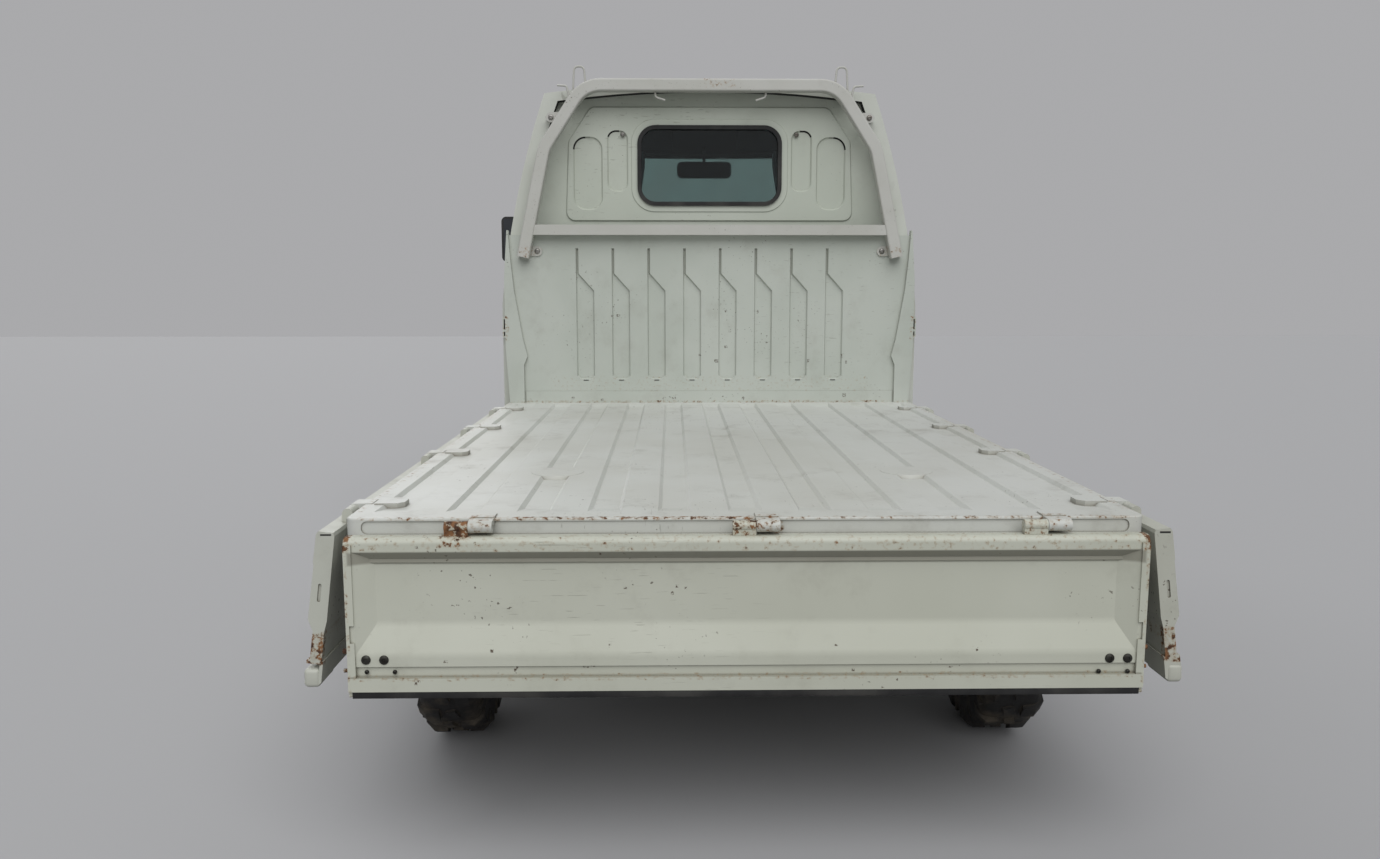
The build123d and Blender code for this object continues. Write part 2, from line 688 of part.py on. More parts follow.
CAB_OUTER = cab_volume(0, 0, 0, CAB_REAR_Y, CAB_BOTTOM, PILLAR_ROUND)
CAB_INNER = cab_volume(
    SIDE_WALL, ROOF_WALL, FRONT_WALL, CAB_REAR_Y - 50, CAB_BOTTOM - 60, PILLAR_ROUND - 25
)

# Side-view outlines of the doorway, the door and its window, from the lower rear corner round

PILLAR_SLOPE = -415 / 655  # how far the screen pillars lean back per unit of height
DOOR_FRONT_Y = 1325
DOOR_ARCH_R = 350
DOOR_LOW = 400
DOOR_STEP = 612  # lower edge of the door between the arch and its front edge
DOOR_TOP = 1672


def door_outline(grow):
    """The door's side-view outline as points, moved out by grow on every edge."""
    radius = DOOR_ARCH_R - grow
    low = DOOR_LOW - grow
    step_low = DOOR_STEP - grow
    front = DOOR_FRONT_Y + grow
    first = math.asin((low - TYRE_R) / radius)
    last = math.asin((step_low - TYRE_R) / radius)
    curve = [
        (
            FRONT_AXLE_Y + radius * math.cos(math.pi - first + (last - math.pi + first) * step / 6),
            TYRE_R + radius * math.sin(math.pi - first + (last - math.pi + first) * step / 6),
        )
        for step in range(7)
    ]
    lean = grow * 1.18
    return [
        (DOOR_REAR_Y - grow, low),
        *curve,
        (front, step_low),
        (front + 20, 900),
        (front + 6, 985),
        (1290 + lean, 1045),
        (1290 + lean + (DOOR_TOP + grow - 1045) * PILLAR_SLOPE, DOOR_TOP + grow),
        (DOOR_REAR_Y + 4 * (grow == 0) - grow, DOOR_TOP + grow),
        (DOOR_REAR_Y - grow, BELT),
    ]


# Door hinges, outside at the door's front edge: two barrels of the body to one of the door

DOOR_HINGE_X = 742
DOOR_HINGE_Y = 1352
DOOR_HINGE_Z = (712, 908)
BARREL_R = 7.5
BARREL = 34
LEAF = (HALF_WIDTH - 4, HALF_WIDTH + 6)  # x of the hinge leaves on the outer skin
BODY_LEAF_Y = DOOR_HINGE_Y + 26
DOOR_LEAF_Y = DOOR_HINGE_Y - 30
POCKET_DEPTH = 14
POCKET_Y = (DOOR_HINGE_Y - 22, DOOR_HINGE_Y + 9)
EDGE_REBATE = 8
EDGE_REBATE_Y = (DOOR_HINGE_Y - 13, DOOR_HINGE_Y + 10)


def hinge_barrel(side, low, leaf_y):
    """One barrel on a door's axis with the leaf that holds it, in the part being built."""
    high = low + BARREL - 1
    axis = (side * DOOR_HINGE_X, DOOR_HINGE_Y)
    block((side * LEAF[0], side * LEAF[1]), sorted((DOOR_HINGE_Y, leaf_y)), (low, high))
    rod((*axis, low), (*axis, high), BARREL_R)


WINDOW_LOW = 1055
WINDOW_HIGH = 1618
WINDOW_FRONT_Y = 1229
WINDOW_OUTLINE = (
    (440, WINDOW_LOW),
    (WINDOW_FRONT_Y, WINDOW_LOW),
    (WINDOW_FRONT_Y + (WINDOW_HIGH - WINDOW_LOW) * PILLAR_SLOPE, WINDOW_HIGH),
    (440, WINDOW_HIGH),
)
SCREEN_LOW = 1052
SCREEN_HIGH = 1618
SCREEN_OUTLINE = ((-645, SCREEN_LOW), (645, SCREEN_LOW), (535, SCREEN_HIGH), (-535, SCREEN_HIGH))
ROOF_SEAM_X = 552
FRONT_SEAM_Y = 1200
FRONT_OUTLINE = (
    (FRONT_SEAM_Y, CAB_BOTTOM - 20),
    (FRONT_SEAM_Y, BELT),
    (1352, BELT),
    (1400, 1035),
    (HALF_LENGTH + 40, 1035),
    (HALF_LENGTH + 40, CAB_BOTTOM - 20),
)
SCREEN_PRISM = rear_prism(SCREEN_OUTLINE, HALF_LENGTH + 30, 800, 45)
FRONT_PRISM = side_prism(FRONT_OUTLINE, -WIDE, WIDE)

with BuildPart() as cab_shell:
    add(CAB_OUTER)
    add(CAB_INNER, mode=Mode.SUBTRACT)
    add(side_prism(door_outline(DOOR_GAP), -WIDE, WIDE), mode=Mode.SUBTRACT)
    add(arch(ARCH_R, -WIDE, WIDE), mode=Mode.SUBTRACT)
    add(SCREEN_PRISM, mode=Mode.SUBTRACT)

# Cab: side frames, each with its pillars, sill and roof rail. The left one is the right's mirror image

SIDE_INNER_X = 640
HIGH = 2000  # above every piece

with BuildPart() as cab_side_right:
    add(cab_shell.part)
    add(FRONT_PRISM, mode=Mode.SUBTRACT)
    block((-WIDE, 0), (0, HALF_LENGTH + 50), (0, HIGH), mode=Mode.SUBTRACT)
    block((0, ROOF_SEAM_X), (0, HALF_LENGTH), (SCREEN_HIGH, HIGH), mode=Mode.SUBTRACT)
    block((0, SIDE_INNER_X), (0, HALF_LENGTH), (0, SCREEN_LOW - 1), mode=Mode.SUBTRACT)
finish(cab_side_right, "cab_side_right")

with BuildPart() as cab_side_left:
    mirror(cab_side_right.part, about=Plane.YZ)
finish(cab_side_left, "cab_side_left")

# Cab: roof panel

with BuildPart() as roof_panel:
    add(cab_shell.part)
    block(
        (-ROOF_SEAM_X, ROOF_SEAM_X),
        (0, HALF_LENGTH),
        (SCREEN_HIGH, HIGH),
        mode=Mode.INTERSECT,
    )
finish(roof_panel, "roof_panel")

# Cab: front panel, with openings for the lamps and the grille

LAMP_OUTLINE = ((418, 600), (655, 610), (655, 745), (430, 735))
GRILLE_HALF = 360
GRILLE_LOW = 610
GRILLE_HIGH = 700

LAMP_PRISMS = [
    rear_prism([(side * x, z) for x, z in LAMP_OUTLINE], HALF_LENGTH + 30, 1400, 22)
    for side in SIDES
]

with BuildPart() as front_panel:
    add(cab_shell.part)
    add(FRONT_PRISM, mode=Mode.INTERSECT)
    for prism in LAMP_PRISMS:
        add(prism, mode=Mode.SUBTRACT)
    block(
        (-GRILLE_HALF, GRILLE_HALF),
        (1400, HALF_LENGTH + 30),
        (GRILLE_LOW, GRILLE_HIGH),
        mode=Mode.SUBTRACT,
    )
    for side in SIDES:
        for hinge_z in DOOR_HINGE_Z:
            # The door's barrel turns in a pocket between the two of the body
            pocket = (side * (HALF_WIDTH - POCKET_DEPTH), side * WIDE)
            block(pocket, POCKET_Y, (hinge_z - 0.5, hinge_z + BARREL - 0.5), Mode.SUBTRACT)
            hinge_barrel(side, hinge_z - BARREL, BODY_LEAF_Y)
            hinge_barrel(side, hinge_z + BARREL, BODY_LEAF_Y)
finish(front_panel, "front_panel")

CAB_LAMP_BACK = cab_volume(0, 0, 32, CAB_REAR_Y, CAB_BOTTOM - 20, 40)

with BuildPart() as headlamps:
    for prism in LAMP_PRISMS:
        add(prism)
    add(CAB_OUTER, mode=Mode.INTERSECT)
    add(CAB_LAMP_BACK, mode=Mode.SUBTRACT)
finish(headlamps, "headlamps")

with BuildPart() as grille:
    block((-GRILLE_HALF, GRILLE_HALF), (1400, HALF_LENGTH + 30), (GRILLE_LOW, GRILLE_HIGH))
    add(CAB_OUTER, mode=Mode.INTERSECT)
    add(CAB_LAMP_BACK, mode=Mode.SUBTRACT)
    with BuildSketch(rear_view(HALF_LENGTH + 30)):
        with Locations((0, (GRILLE_LOW + GRILLE_HIGH) / 2)):
            with GridLocations(172, 26, 4, 3):
                SlotOverall(160, 14)
    extrude(amount=300, mode=Mode.SUBTRACT)
finish(grille, "grille")

# Windscreen

with BuildPart() as windscreen:
    add(SCREEN_PRISM)
    add(cab_volume(6, 6, 8, 700, CAB_BOTTOM, PILLAR_ROUND - 5), mode=Mode.INTERSECT)
    add(cab_volume(11, 11, 15, 600, CAB_BOTTOM - 20, PILLAR_ROUND - 10), mode=Mode.SUBTRACT)
finish(windscreen, "windscreen")

# Front bumper

BUMPER_LOW = 332
BUMPER_HIGH = 462

with BuildPart() as front_bumper:
    block((-690, 690), (1515, HALF_LENGTH + 10), (BUMPER_LOW, BUMPER_HIGH))
    add(
        cab_volume(0, 0, NOSE_Y - HALF_LENGTH, CAB_REAR_Y, CAB_BOTTOM, PILLAR_ROUND - 15),
        mode=Mode.INTERSECT,
    )
    add(cab_volume(0, 0, 0, CAB_REAR_Y - 20, CAB_BOTTOM - 20, PILLAR_ROUND - 15), mode=Mode.SUBTRACT)
    # The air intake, and round openings for the fog lamps
    with BuildSketch(rear_view(HALF_LENGTH + 10)):
        with Locations((0, (BUMPER_LOW + BUMPER_HIGH) / 2)):
            SlotOverall(560, 56)
        with Locations(*[(side * 510, (BUMPER_LOW + BUMPER_HIGH) / 2) for side in SIDES]):
            Circle(34)
    extrude(amount=200, mode=Mode.SUBTRACT)
finish(front_bumper, "front_bumper")

# Cab: rear wall with pressed panels, window, seal and glass

REAR_WINDOW_HALF = 241
REAR_WINDOW_LOW = 1365
REAR_WINDOW_HIGH = 1615
REAR_WINDOW_R = 50
SEAL = 14
WINDOW_MID_Z = (REAR_WINDOW_LOW + REAR_WINDOW_HIGH) / 2
WINDOW_HEIGHT = REAR_WINDOW_HIGH - REAR_WINDOW_LOW
FIELD_RISE = 6
FIELD_OUTLINE = ((-512, 1296), (512, 1296), (500, 1575), (420, 1694), (-420, 1694), (-500, 1575))
HOLLOWS = (  # x of the middle, lower end, upper end, width
    (430, 1336, 1590, 104),
    (325, 1400, 1612, 74),
)

with BuildPart() as cab_rear_wall:
    add(CAB_INNER)
    block(
        (-WIDE, WIDE),
        (CAB_WALL_Y, CAB_WALL_Y + CAB_WALL),
        (CAB_BOTTOM + 100, HIGH),
        mode=Mode.INTERSECT,
    )
    # A raised field round the window, with long pressed hollows beside it
    with BuildSketch(rear_view(CAB_WALL_Y)) as field:
        with BuildLine():
            Polyline(*FIELD_OUTLINE, close=True)
        make_face()
        fillet(field.vertices().filter_by(lambda v: v.Z > WINDOW_MID_Z), 60)
        fillet(field.vertices().filter_by(lambda v: v.Z < WINDOW_MID_Z), 34)
    extrude(amount=FIELD_RISE, taper=40)
    with BuildSketch(rear_view(CAB_WALL_Y - FIELD_RISE)):
        for side in SIDES:
            for hollow_x, low, high, width in HOLLOWS:
                with Locations((side * hollow_x, (low + high) / 2)):
                    RectangleRounded(width, high - low, width * 0.42)
    extrude(amount=-FIELD_RISE - 1, taper=35, mode=Mode.SUBTRACT)
    with BuildSketch(rear_view(CAB_WALL_Y - FIELD_RISE + 1)):
        with Locations((0, WINDOW_MID_Z)):
            RectangleRounded(2 * REAR_WINDOW_HALF + 74, WINDOW_HEIGHT + 74, REAR_WINDOW_R + 34)
    extrude(amount=4, taper=40)
    with BuildSketch(rear_view(CAB_WALL_Y + 60)):
        with Locations((0, WINDOW_MID_Z)):
            RectangleRounded(
                2 * REAR_WINDOW_HALF + 2 * SEAL, WINDOW_HEIGHT + 2 * SEAL, REAR_WINDOW_R + SEAL
            )
    extrude(amount=120, mode=Mode.SUBTRACT)
finish(cab_rear_wall, "cab_rear_wall")

with BuildPart() as rear_window_seal:
    with BuildSketch(rear_view(CAB_WALL_Y + 14)):
        with Locations((0, WINDOW_MID_Z)):
            RectangleRounded(
                2 * REAR_WINDOW_HALF + 2 * SEAL, WINDOW_HEIGHT + 2 * SEAL, REAR_WINDOW_R + SEAL
            )
            RectangleRounded(
                2 * REAR_WINDOW_HALF, WINDOW_HEIGHT, REAR_WINDOW_R, mode=Mode.SUBTRACT
            )
    extrude(amount=30)
finish(rear_window_seal, "rear_window_seal")

with BuildPart() as rear_window:
    with BuildSketch(rear_view(CAB_WALL_Y + 5)):
        with Locations((0, WINDOW_MID_Z)):
            RectangleRounded(2 * REAR_WINDOW_HALF, WINDOW_HEIGHT, REAR_WINDOW_R)
    extrude(amount=5)
finish(rear_window, "rear_window")

# Doors with their glass

HANDLE_Y = (432, 556)
HANDLE_Z = (916, 974)

DOOR_FRAME_INNER = cab_volume(
    FRAME_WALL, ROOF_WALL, FRONT_WALL, CAB_REAR_Y - 50, CAB_BOTTOM - 60, PILLAR_ROUND - 25
)
GLASS_OUTER = cab_volume(14, 14, 14, CAB_REAR_Y - 10, CAB_BOTTOM, PILLAR_ROUND - 10)
GLASS_INNER = cab_volume(19, 19, 19, CAB_REAR_Y - 20, CAB_BOTTOM - 10, PILLAR_ROUND - 10)

for side, side_name in zip(SIDES, ("left", "right")):
    x_low = min(side * 400, side * WIDE)
    with BuildPart() as door:
        add(side_prism(door_outline(0), x_low, x_low + WIDE - 400))
        add(CAB_OUTER, mode=Mode.INTERSECT)
        add(CAB_INNER, mode=Mode.SUBTRACT)
        with BuildPart(mode=Mode.PRIVATE) as frame_recess:
            add(DOOR_FRAME_INNER)
            block((-WIDE, WIDE), (0, HALF_LENGTH), (WINDOW_LOW - 6, HIGH), mode=Mode.INTERSECT)
        add(frame_recess.part, mode=Mode.SUBTRACT)
        add(side_prism(WINDOW_OUTLINE, x_low, x_low + WIDE - 400, 28), mode=Mode.SUBTRACT)
        for hinge_z in DOOR_HINGE_Z:
            rebate = (side * (HALF_WIDTH - EDGE_REBATE), side * WIDE)
            block(rebate, EDGE_REBATE_Y, (hinge_z - BARREL - 6, hinge_z + 2 * BARREL + 6), Mode.SUBTRACT)
            hinge_barrel(side, hinge_z, DOOR_LEAF_Y)
        # A hollow behind the pull handle, and the handle
        hollow = (side * (HALF_WIDTH - 14), side * (HALF_WIDTH + 5))
        block(hollow, HANDLE_Y, HANDLE_Z, Mode.SUBTRACT)
        pull = (side * (HALF_WIDTH - 5), side * (HALF_WIDTH + 4))
        block(pull, (HANDLE_Y[0] - 2, HANDLE_Y[1] + 2), (HANDLE_Z[1] - 24, HANDLE_Z[1] - 2))
    finish(door, f"door_{side_name}")
    with BuildPart() as door_glass:
        add(side_prism(WINDOW_OUTLINE, x_low, x_low + WIDE - 400, 28))
        add(GLASS_OUTER, mode=Mode.INTERSECT)
        add(GLASS_INNER, mode=Mode.SUBTRACT)
    finish(door_glass, f"door_glass_{side_name}")
    with BuildPart() as mirror:
        block((side * 748, side * 886), (1270, 1318), (1176, 1373))
        fillet(mirror.edges().filter_by(Axis.Y), 22)
        fillet(mirror.faces().sort_by(Axis.Y)[-1].edges(), 14)
        block((side * HALF_WIDTH, side * (HALF_WIDTH + 8)), (1262, 1318), (940, 994))
        rod((side * (HALF_WIDTH + 8), 1290, 968), (side * 780, 1294, 1030), 8)
        rod((side * 779, 1294, 1028), (side * 784, 1294, 1190), 8)
    finish(mirror, f"mirror_{side_name}")

# Cab: floor with wheel housings and the box under the seats

HOUSING_WALL = 6
HOUSING_X = 422
FLOOR_SHEET = 10
FLOOR_HALF = HALF_WIDTH - SIDE_WALL
SEAT_BOX_HALF = 620
SEAT_BOX_TOP = 720
SEAT_BOX_REAR = CAB_WALL_Y + CAB_WALL + 3
SEAT_BOX_FRONT = 868
FLOOR_FRONT_Y = 1600

with BuildPart() as cab_floor:
    block(
        (-FLOOR_HALF, FLOOR_HALF),
        (CAB_WALL_Y + CAB_WALL, FLOOR_FRONT_Y),
        (CAB_FLOOR - FLOOR_SHEET, CAB_FLOOR),
    )
    block(
        (-SEAT_BOX_HALF, SEAT_BOX_HALF),
        (SEAT_BOX_REAR, SEAT_BOX_FRONT),
        (CAB_FLOOR - FLOOR_SHEET, SEAT_BOX_TOP),
    )
    for side in SIDES:
        x_low = min(side * (HOUSING_X - HOUSING_WALL), side * FLOOR_HALF)
        housing = arch(ARCH_R + HOUSING_WALL, x_low, x_low + FLOOR_HALF - HOUSING_X + HOUSING_WALL)
        with BuildPart(mode=Mode.PRIVATE) as housing_top:
            add(housing)
            block((-WIDE, WIDE), (0, 1800), (CAB_FLOOR - FLOOR_SHEET, 700), mode=Mode.INTERSECT)
        add(housing_top.part)
        x_low = min(side * HOUSING_X, side * WIDE)
        add(arch(ARCH_R, x_low, x_low + WIDE - HOUSING_X), mode=Mode.SUBTRACT)
    block(
        (-SEAT_BOX_HALF + HOUSING_WALL, SEAT_BOX_HALF - HOUSING_WALL),
        (SEAT_BOX_REAR + HOUSING_WALL, SEAT_BOX_FRONT - HOUSING_WALL),
        (CAB_FLOOR - FLOOR_SHEET, SEAT_BOX_TOP - HOUSING_WALL),
        mode=Mode.SUBTRACT,
    )
    add(cab_volume(SIDE_WALL, 60, FRONT_WALL, 300, 200, 30), mode=Mode.INTERSECT)
finish(cab_floor, "cab_floor")

# Inside the cab: dashboard, seats, mirror and steering column

CABIN = cab_volume(SIDE_WALL + 8, 60, FRONT_WALL + 10, CAB_REAR_Y, CAB_BOTTOM, 25)
DASH_OUTLINE = (
    (1170, 800),
    (1150, 900),
    (1165, 985),
    (1260, 1012),
    (1600, 1005),
    (1600, 760),
    (1300, 740),
)

with BuildPart() as dashboard:
    add(side_prism(DASH_OUTLINE, -WIDE, WIDE))
    add(CABIN, mode=Mode.INTERSECT)
finish(dashboard, "dashboard")

SEAT_X = 352
SEAT_HALF = 225
SEAT_BACK_Y = CAB_WALL_Y + CAB_WALL + 12

for side, side_name in zip(SIDES, ("left", "right")):
    with BuildPart() as seat:
        centre = side * SEAT_X
        block(
            (centre - SEAT_HALF, centre + SEAT_HALF),
            (SEAT_BACK_Y + 70, SEAT_BOX_FRONT - 6),
            (SEAT_BOX_TOP, SEAT_BOX_TOP + 90),
        )
        with BuildSketch(rear_view(SEAT_BACK_Y + 110)):
            with BuildLine():
                Polyline(
                    (centre - SEAT_HALF, SEAT_BOX_TOP + 20),
                    (centre + SEAT_HALF, SEAT_BOX_TOP + 20),
                    (centre + SEAT_HALF, 1200),
                    (centre + 130, 1330),
                    (centre + 125, 1575),
                    (centre - 125, 1575),
                    (centre - 130, 1330),
                    (centre - SEAT_HALF, 1200),
                    close=True,
                )
            make_face()
            fillet(vertices().filter_by(lambda v: v.Z > 1100), 45)
        extrude(amount=110)
    finish(seat, f"seat_{side_name}")

with BuildPart() as cabin_mirror:
    block((-112, 112), (985, 1008), (1512, 1578))
    fillet(cabin_mirror.edges().filter_by(Axis.Y), 20)
    rod((0, 1000, 1560), (0, 1060, 1670), 6)
    add(CAB_INNER, mode=Mode.INTERSECT)
finish(cabin_mirror, "cabin_mirror")

STEER_X = 335
STEER_Y = 935
STEER_Z = 990
STEER_TILT = 42  # degrees of the column's axis above the level
STEER_AXIS = (0, -math.cos(math.radians(STEER_TILT)), math.sin(math.radians(STEER_TILT)))


def on_column(distance):
    """A point on the steering axis, at a distance from the wheel's middle towards the driver."""
    return (
        STEER_X,
        STEER_Y + STEER_AXIS[1] * distance,
        STEER_Z + STEER_AXIS[2] * distance,
    )


with BuildPart() as steering_column:
    rod(on_column(-45), on_column(-330), 26)
    rod(on_column(-300), on_column(-560), 12)
    add(cab_volume(SIDE_WALL + 8, 60, FRONT_WALL + 2, 300, CAB_FLOOR + 1, 25), mode=Mode.INTERSECT)
    add(dashboard.part, mode=Mode.SUBTRACT)
finish(steering_column, "steering_column")

WHEEL_RING_R = 180
GRIP_R = 13

with BuildPart() as steering_wheel:
    hub_plane = Plane(origin=on_column(0), x_dir=(1, 0, 0), z_dir=STEER_AXIS)
    with Locations(hub_plane.location):
        Torus(WHEEL_RING_R, GRIP_R)
        Cylinder(48, 40, align=(Align.CENTER, Align.CENTER, Align.MAX))
        for angle in (20, 160, 270):
            with Locations(Location((0, 0, -14), (0, 0, angle))):
                Box(WHEEL_RING_R, 26, 9, align=(Align.MIN, Align.CENTER, Align.CENTER))
finish(steering_wheel, "steering_wheel")

# Frame: two rails that drop under the cab, and cross members

RAIL_OUTLINE = (
    (-1600, RAIL_TOP - RAIL_DEPTH),
    (-1600, RAIL_TOP),
    (110, RAIL_TOP),
    (345, RAIL_FRONT_TOP),
    (1560, RAIL_FRONT_TOP),
    (1560, RAIL_FRONT_TOP - 88),
    (320, RAIL_FRONT_TOP - 88),
    (90, RAIL_TOP - RAIL_DEPTH),
)
CROSS_MEMBERS = ((-1560, 515, 575), (-740, 515, 575), (40, 515, 575), (1500, 350, 410))

with BuildPart() as frame:
    for side in SIDES:
        low = side * RAIL_X - RAIL_WIDTH / 2
        add(side_prism(RAIL_OUTLINE, low, low + RAIL_WIDTH))
    for member_y, member_low, member_high in CROSS_MEMBERS:
        block((-RAIL_X, RAIL_X), (member_y - 25, member_y + 25), (member_low, member_high))
    # Spring hangers behind and ahead of the rear axle
    for side in SIDES:
        for hanger_y in (REAR_AXLE_Y - LEAF_REAR, REAR_AXLE_Y + LEAF_FRONT):
            block((side * RAIL_X, side * 498), (hanger_y - 20, hanger_y + 20), (505, 560))
finish(frame, "frame")

# Rear axle, springs and drive line


with BuildPart() as rear_axle:
    rod((-590, REAR_AXLE_Y, TYRE_R), (590, REAR_AXLE_Y, TYRE_R), 33)
    with Locations((0, REAR_AXLE_Y, TYRE_R)):
        Sphere(105)
    rod((0, REAR_AXLE_Y, TYRE_R), (0, REAR_AXLE_Y + 190, TYRE_R + 8), 45)
    for side in SIDES:
        rod(
            (side * 585, REAR_AXLE_Y, TYRE_R),
            (side * (TRACK_HALF + HUB_FACE - 1), REAR_AXLE_Y, TYRE_R),
            104,
        )
        rod(
            (side * (TRACK_HALF + HUB_FACE - HUB_NOSE), REAR_AXLE_Y, TYRE_R),
            (side * (TRACK_HALF + HUB_FACE + HUB_NOSE), REAR_AXLE_Y, TYRE_R),
            HUB_BORE_R - 3,
        )
finish(rear_axle, "rear_axle")

with BuildPart() as leaf_springs:
    curve_centre = (REAR_AXLE_Y, LEAF_LOW + 3 * LEAF_THICKNESS + LEAF_CURVE_R)
    for side in SIDES:
        with BuildSketch(side_view(side * SPRING_X - 25)):
            for leaf, share in enumerate((1, 0.7, 0.42)):
                radius = LEAF_CURVE_R + leaf * LEAF_THICKNESS
                start = -90 - math.degrees(math.asin(LEAF_REAR * share / LEAF_CURVE_R))
                stop = -90 + math.degrees(math.asin(LEAF_FRONT * share / LEAF_CURVE_R))
                with BuildLine():
                    upper = CenterArc(curve_centre, radius, start, stop - start)
                    lower = CenterArc(curve_centre, radius + LEAF_THICKNESS, start, stop - start)
                    Line(upper @ 0, lower @ 0)
                    Line(upper @ 1, lower @ 1)
                make_face()
        extrude(amount=50)
finish(leaf_springs, "leaf_springs")

with BuildPart() as propshaft:
    rod((0, 300, 330), (0, REAR_AXLE_Y + 195, TYRE_R + 10), 28)
finish(propshaft, "propshaft")

# Engine block, plain, under the seats

with BuildPart() as engine_block:
    block((-190, 190), (SEAT_BOX_REAR + 30, 840), (250, 600))
    rod((0, 320, 330), (0, SEAT_BOX_REAR + 40, 335), 70)
    fillet(engine_block.edges().filter_by(Axis.Y), 20)
finish(engine_block, "engine_block")

# Tank, exhaust and spare wheel

with BuildPart() as fuel_tank:
    block((-680, -422), (-500, -70), (330, 520))
    fillet(fuel_tank.edges().filter_by(Axis.Y), 35)
finish(fuel_tank, "fuel_tank")

with BuildPart() as exhaust:
    with BuildLine() as exhaust_path:
        FilletPolyline(
            (192, 600, 300),
            (292, 600, 300),
            (292, 250, 300),
            (520, 100, 330),
            (520, -120, 380),
            radius=45,
        )
    with BuildSketch(Plane(origin=(192, 600, 300), z_dir=(1, 0, 0))):
        Circle(19)
    sweep()
    rod((520, -110, 380), (520, -480, 380), 72)
    rod((560, -470, 380), (560, -640, 360), 17)
finish(exhaust, "exhaust")

# Wheels: one tyre with flat facets and staggered shoulder lugs, and one pressed rim, each
# made about the origin with its outboard side towards +X and then set at all four corners

TYRE_FLATS = 28
LUGS_A_SIDE = TYRE_FLATS // 2
TREAD_R = TYRE_R - LUG_DEPTH
BEAD_GAP = 0.3
FLANGE_GAP = 3  # the tyre's corners stand this far outside the rim's flange
LUG_WIDTH = 34
TYRE_RINGS = (  # distance from the middle plane, radius
    (-BEAD_HALF_WIDTH, RIM_FLANGE_R + FLANGE_GAP),
    (-70, TYRE_R - 58),
    (-65, TYRE_R - 20),
    (-55, TREAD_R),
    (55, TREAD_R),
    (65, TYRE_R - 20),
    (70, TYRE_R - 58),
    (BEAD_HALF_WIDTH, RIM_FLANGE_R + FLANGE_GAP),
)
LUG_OUTLINE = (  # distance from the middle plane, radius
    (22, TREAD_R - 6),
    (22, TYRE_R),
    (56, TYRE_R),
    (68, TYRE_R - 17),
    (72, TYRE_R - 44),
    (64, TYRE_R - 44),
)
RIM_OUTLINE = (
    (-BEAD_HALF_WIDTH - 7, RIM_FLANGE_R),
    (-BEAD_HALF_WIDTH - BEAD_GAP, RIM_FLANGE_R),
    (-BEAD_HALF_WIDTH - BEAD_GAP, BEAD_R),
    (-30, BEAD_R),
    (-20, 128),
    (16, 128),
    (26, BEAD_R),
    (BEAD_HALF_WIDTH + BEAD_GAP, BEAD_R),
    (BEAD_HALF_WIDTH + BEAD_GAP, RIM_FLANGE_R),
    (BEAD_HALF_WIDTH + 7, RIM_FLANGE_R),
    (BEAD_HALF_WIDTH + 5, BEAD_R - RIM_WALL),
    (30, BEAD_R - RIM_WALL),
    (20, 128 - RIM_WALL),
    (-24, 128 - RIM_WALL),
    (-34, BEAD_R - RIM_WALL),
    (-BEAD_HALF_WIDTH - 5, BEAD_R - RIM_WALL),
)
DISC_OUTLINE = (
    (HUB_FACE, HUB_BORE_R),
    (HUB_FACE, 68),
    (HUB_FACE + 10, 84),
    (HUB_FACE + 6, 102),
    (4, 124),
    (14, 124),
    (HUB_FACE + 14, 105),
    (HUB_FACE + 17, 82),
    (HUB_FACE + 6, 64),
    (HUB_FACE + 6, HUB_BORE_R),
)
VENT_COUNT = 10
VENT_R = 104
HALF_SECTION = Plane.XZ  # the wheel's half section, its axle along X

with BuildPart() as lug_pair:
    for side, turn in ((1, -90), (-1, -90 + 180 / LUGS_A_SIDE)):
        wheel_radius = Plane(origin=(0, 0, 0), x_dir=(side, 0, 0), z_dir=(0, -side, 0))
        with BuildSketch(wheel_radius.rotated((turn - 90, 0, 0), ordering=Extrinsic.XYZ)):
            with BuildLine():
                Polyline(*LUG_OUTLINE, close=True)
            make_face()
        extrude(amount=LUG_WIDTH / 2, both=True)

with BuildPart() as tyre_form:
    for distance, radius in TYRE_RINGS:
        with BuildSketch(side_view(distance)):
            RegularPolygon(radius, TYRE_FLATS, rotation=180 / TYRE_FLATS)
    loft(ruled=True)
    with BuildSketch(side_view(-BEAD_HALF_WIDTH - 1)):
        RegularPolygon(
            BEAD_R + BEAD_GAP, TYRE_FLATS, major_radius=False, rotation=180 / TYRE_FLATS
        )
    extrude(amount=2 * BEAD_HALF_WIDTH + 2, mode=Mode.SUBTRACT)
    add([lug_pair.part.rotate(Axis.X, lug * 360 / LUGS_A_SIDE) for lug in range(LUGS_A_SIDE)])

with BuildPart() as rim_form:
    for outline in (RIM_OUTLINE, DISC_OUTLINE):
        with BuildSketch(HALF_SECTION):
            with BuildLine():
                Polyline(*outline, close=True)
            make_face()
        revolve(axis=Axis.X)
    with BuildSketch(side_view(0)):
        with PolarLocations(WHEEL_BOLT_PCD / 2, 4, start_angle=45):
            Circle(WHEEL_BOLT_R)
        with PolarLocations(VENT_R, VENT_COUNT):
            SlotOverall(24, 13, rotation=90)
    extrude(amount=80, mode=Mode.SUBTRACT)

WHEELS = (  # name, side, place along the truck
    ("front_left", -1, FRONT_AXLE_Y),
    ("front_right", 1, FRONT_AXLE_Y),
    ("rear_left", -1, REAR_AXLE_Y),
    ("rear_right", 1, REAR_AXLE_Y),
)

for wheel_name, side, wheel_y in WHEELS:
    place = Location((side * TRACK_HALF, wheel_y, TYRE_R), (0, 0, 90 - 90 * side))
    for form, kind in ((tyre_form, "tyre"), (rim_form, "rim")):
        with BuildPart() as placed:
            add(form.part.moved(place))
        finish(placed, f"{kind}_{wheel_name}")

# Front suspension and steering knuckles

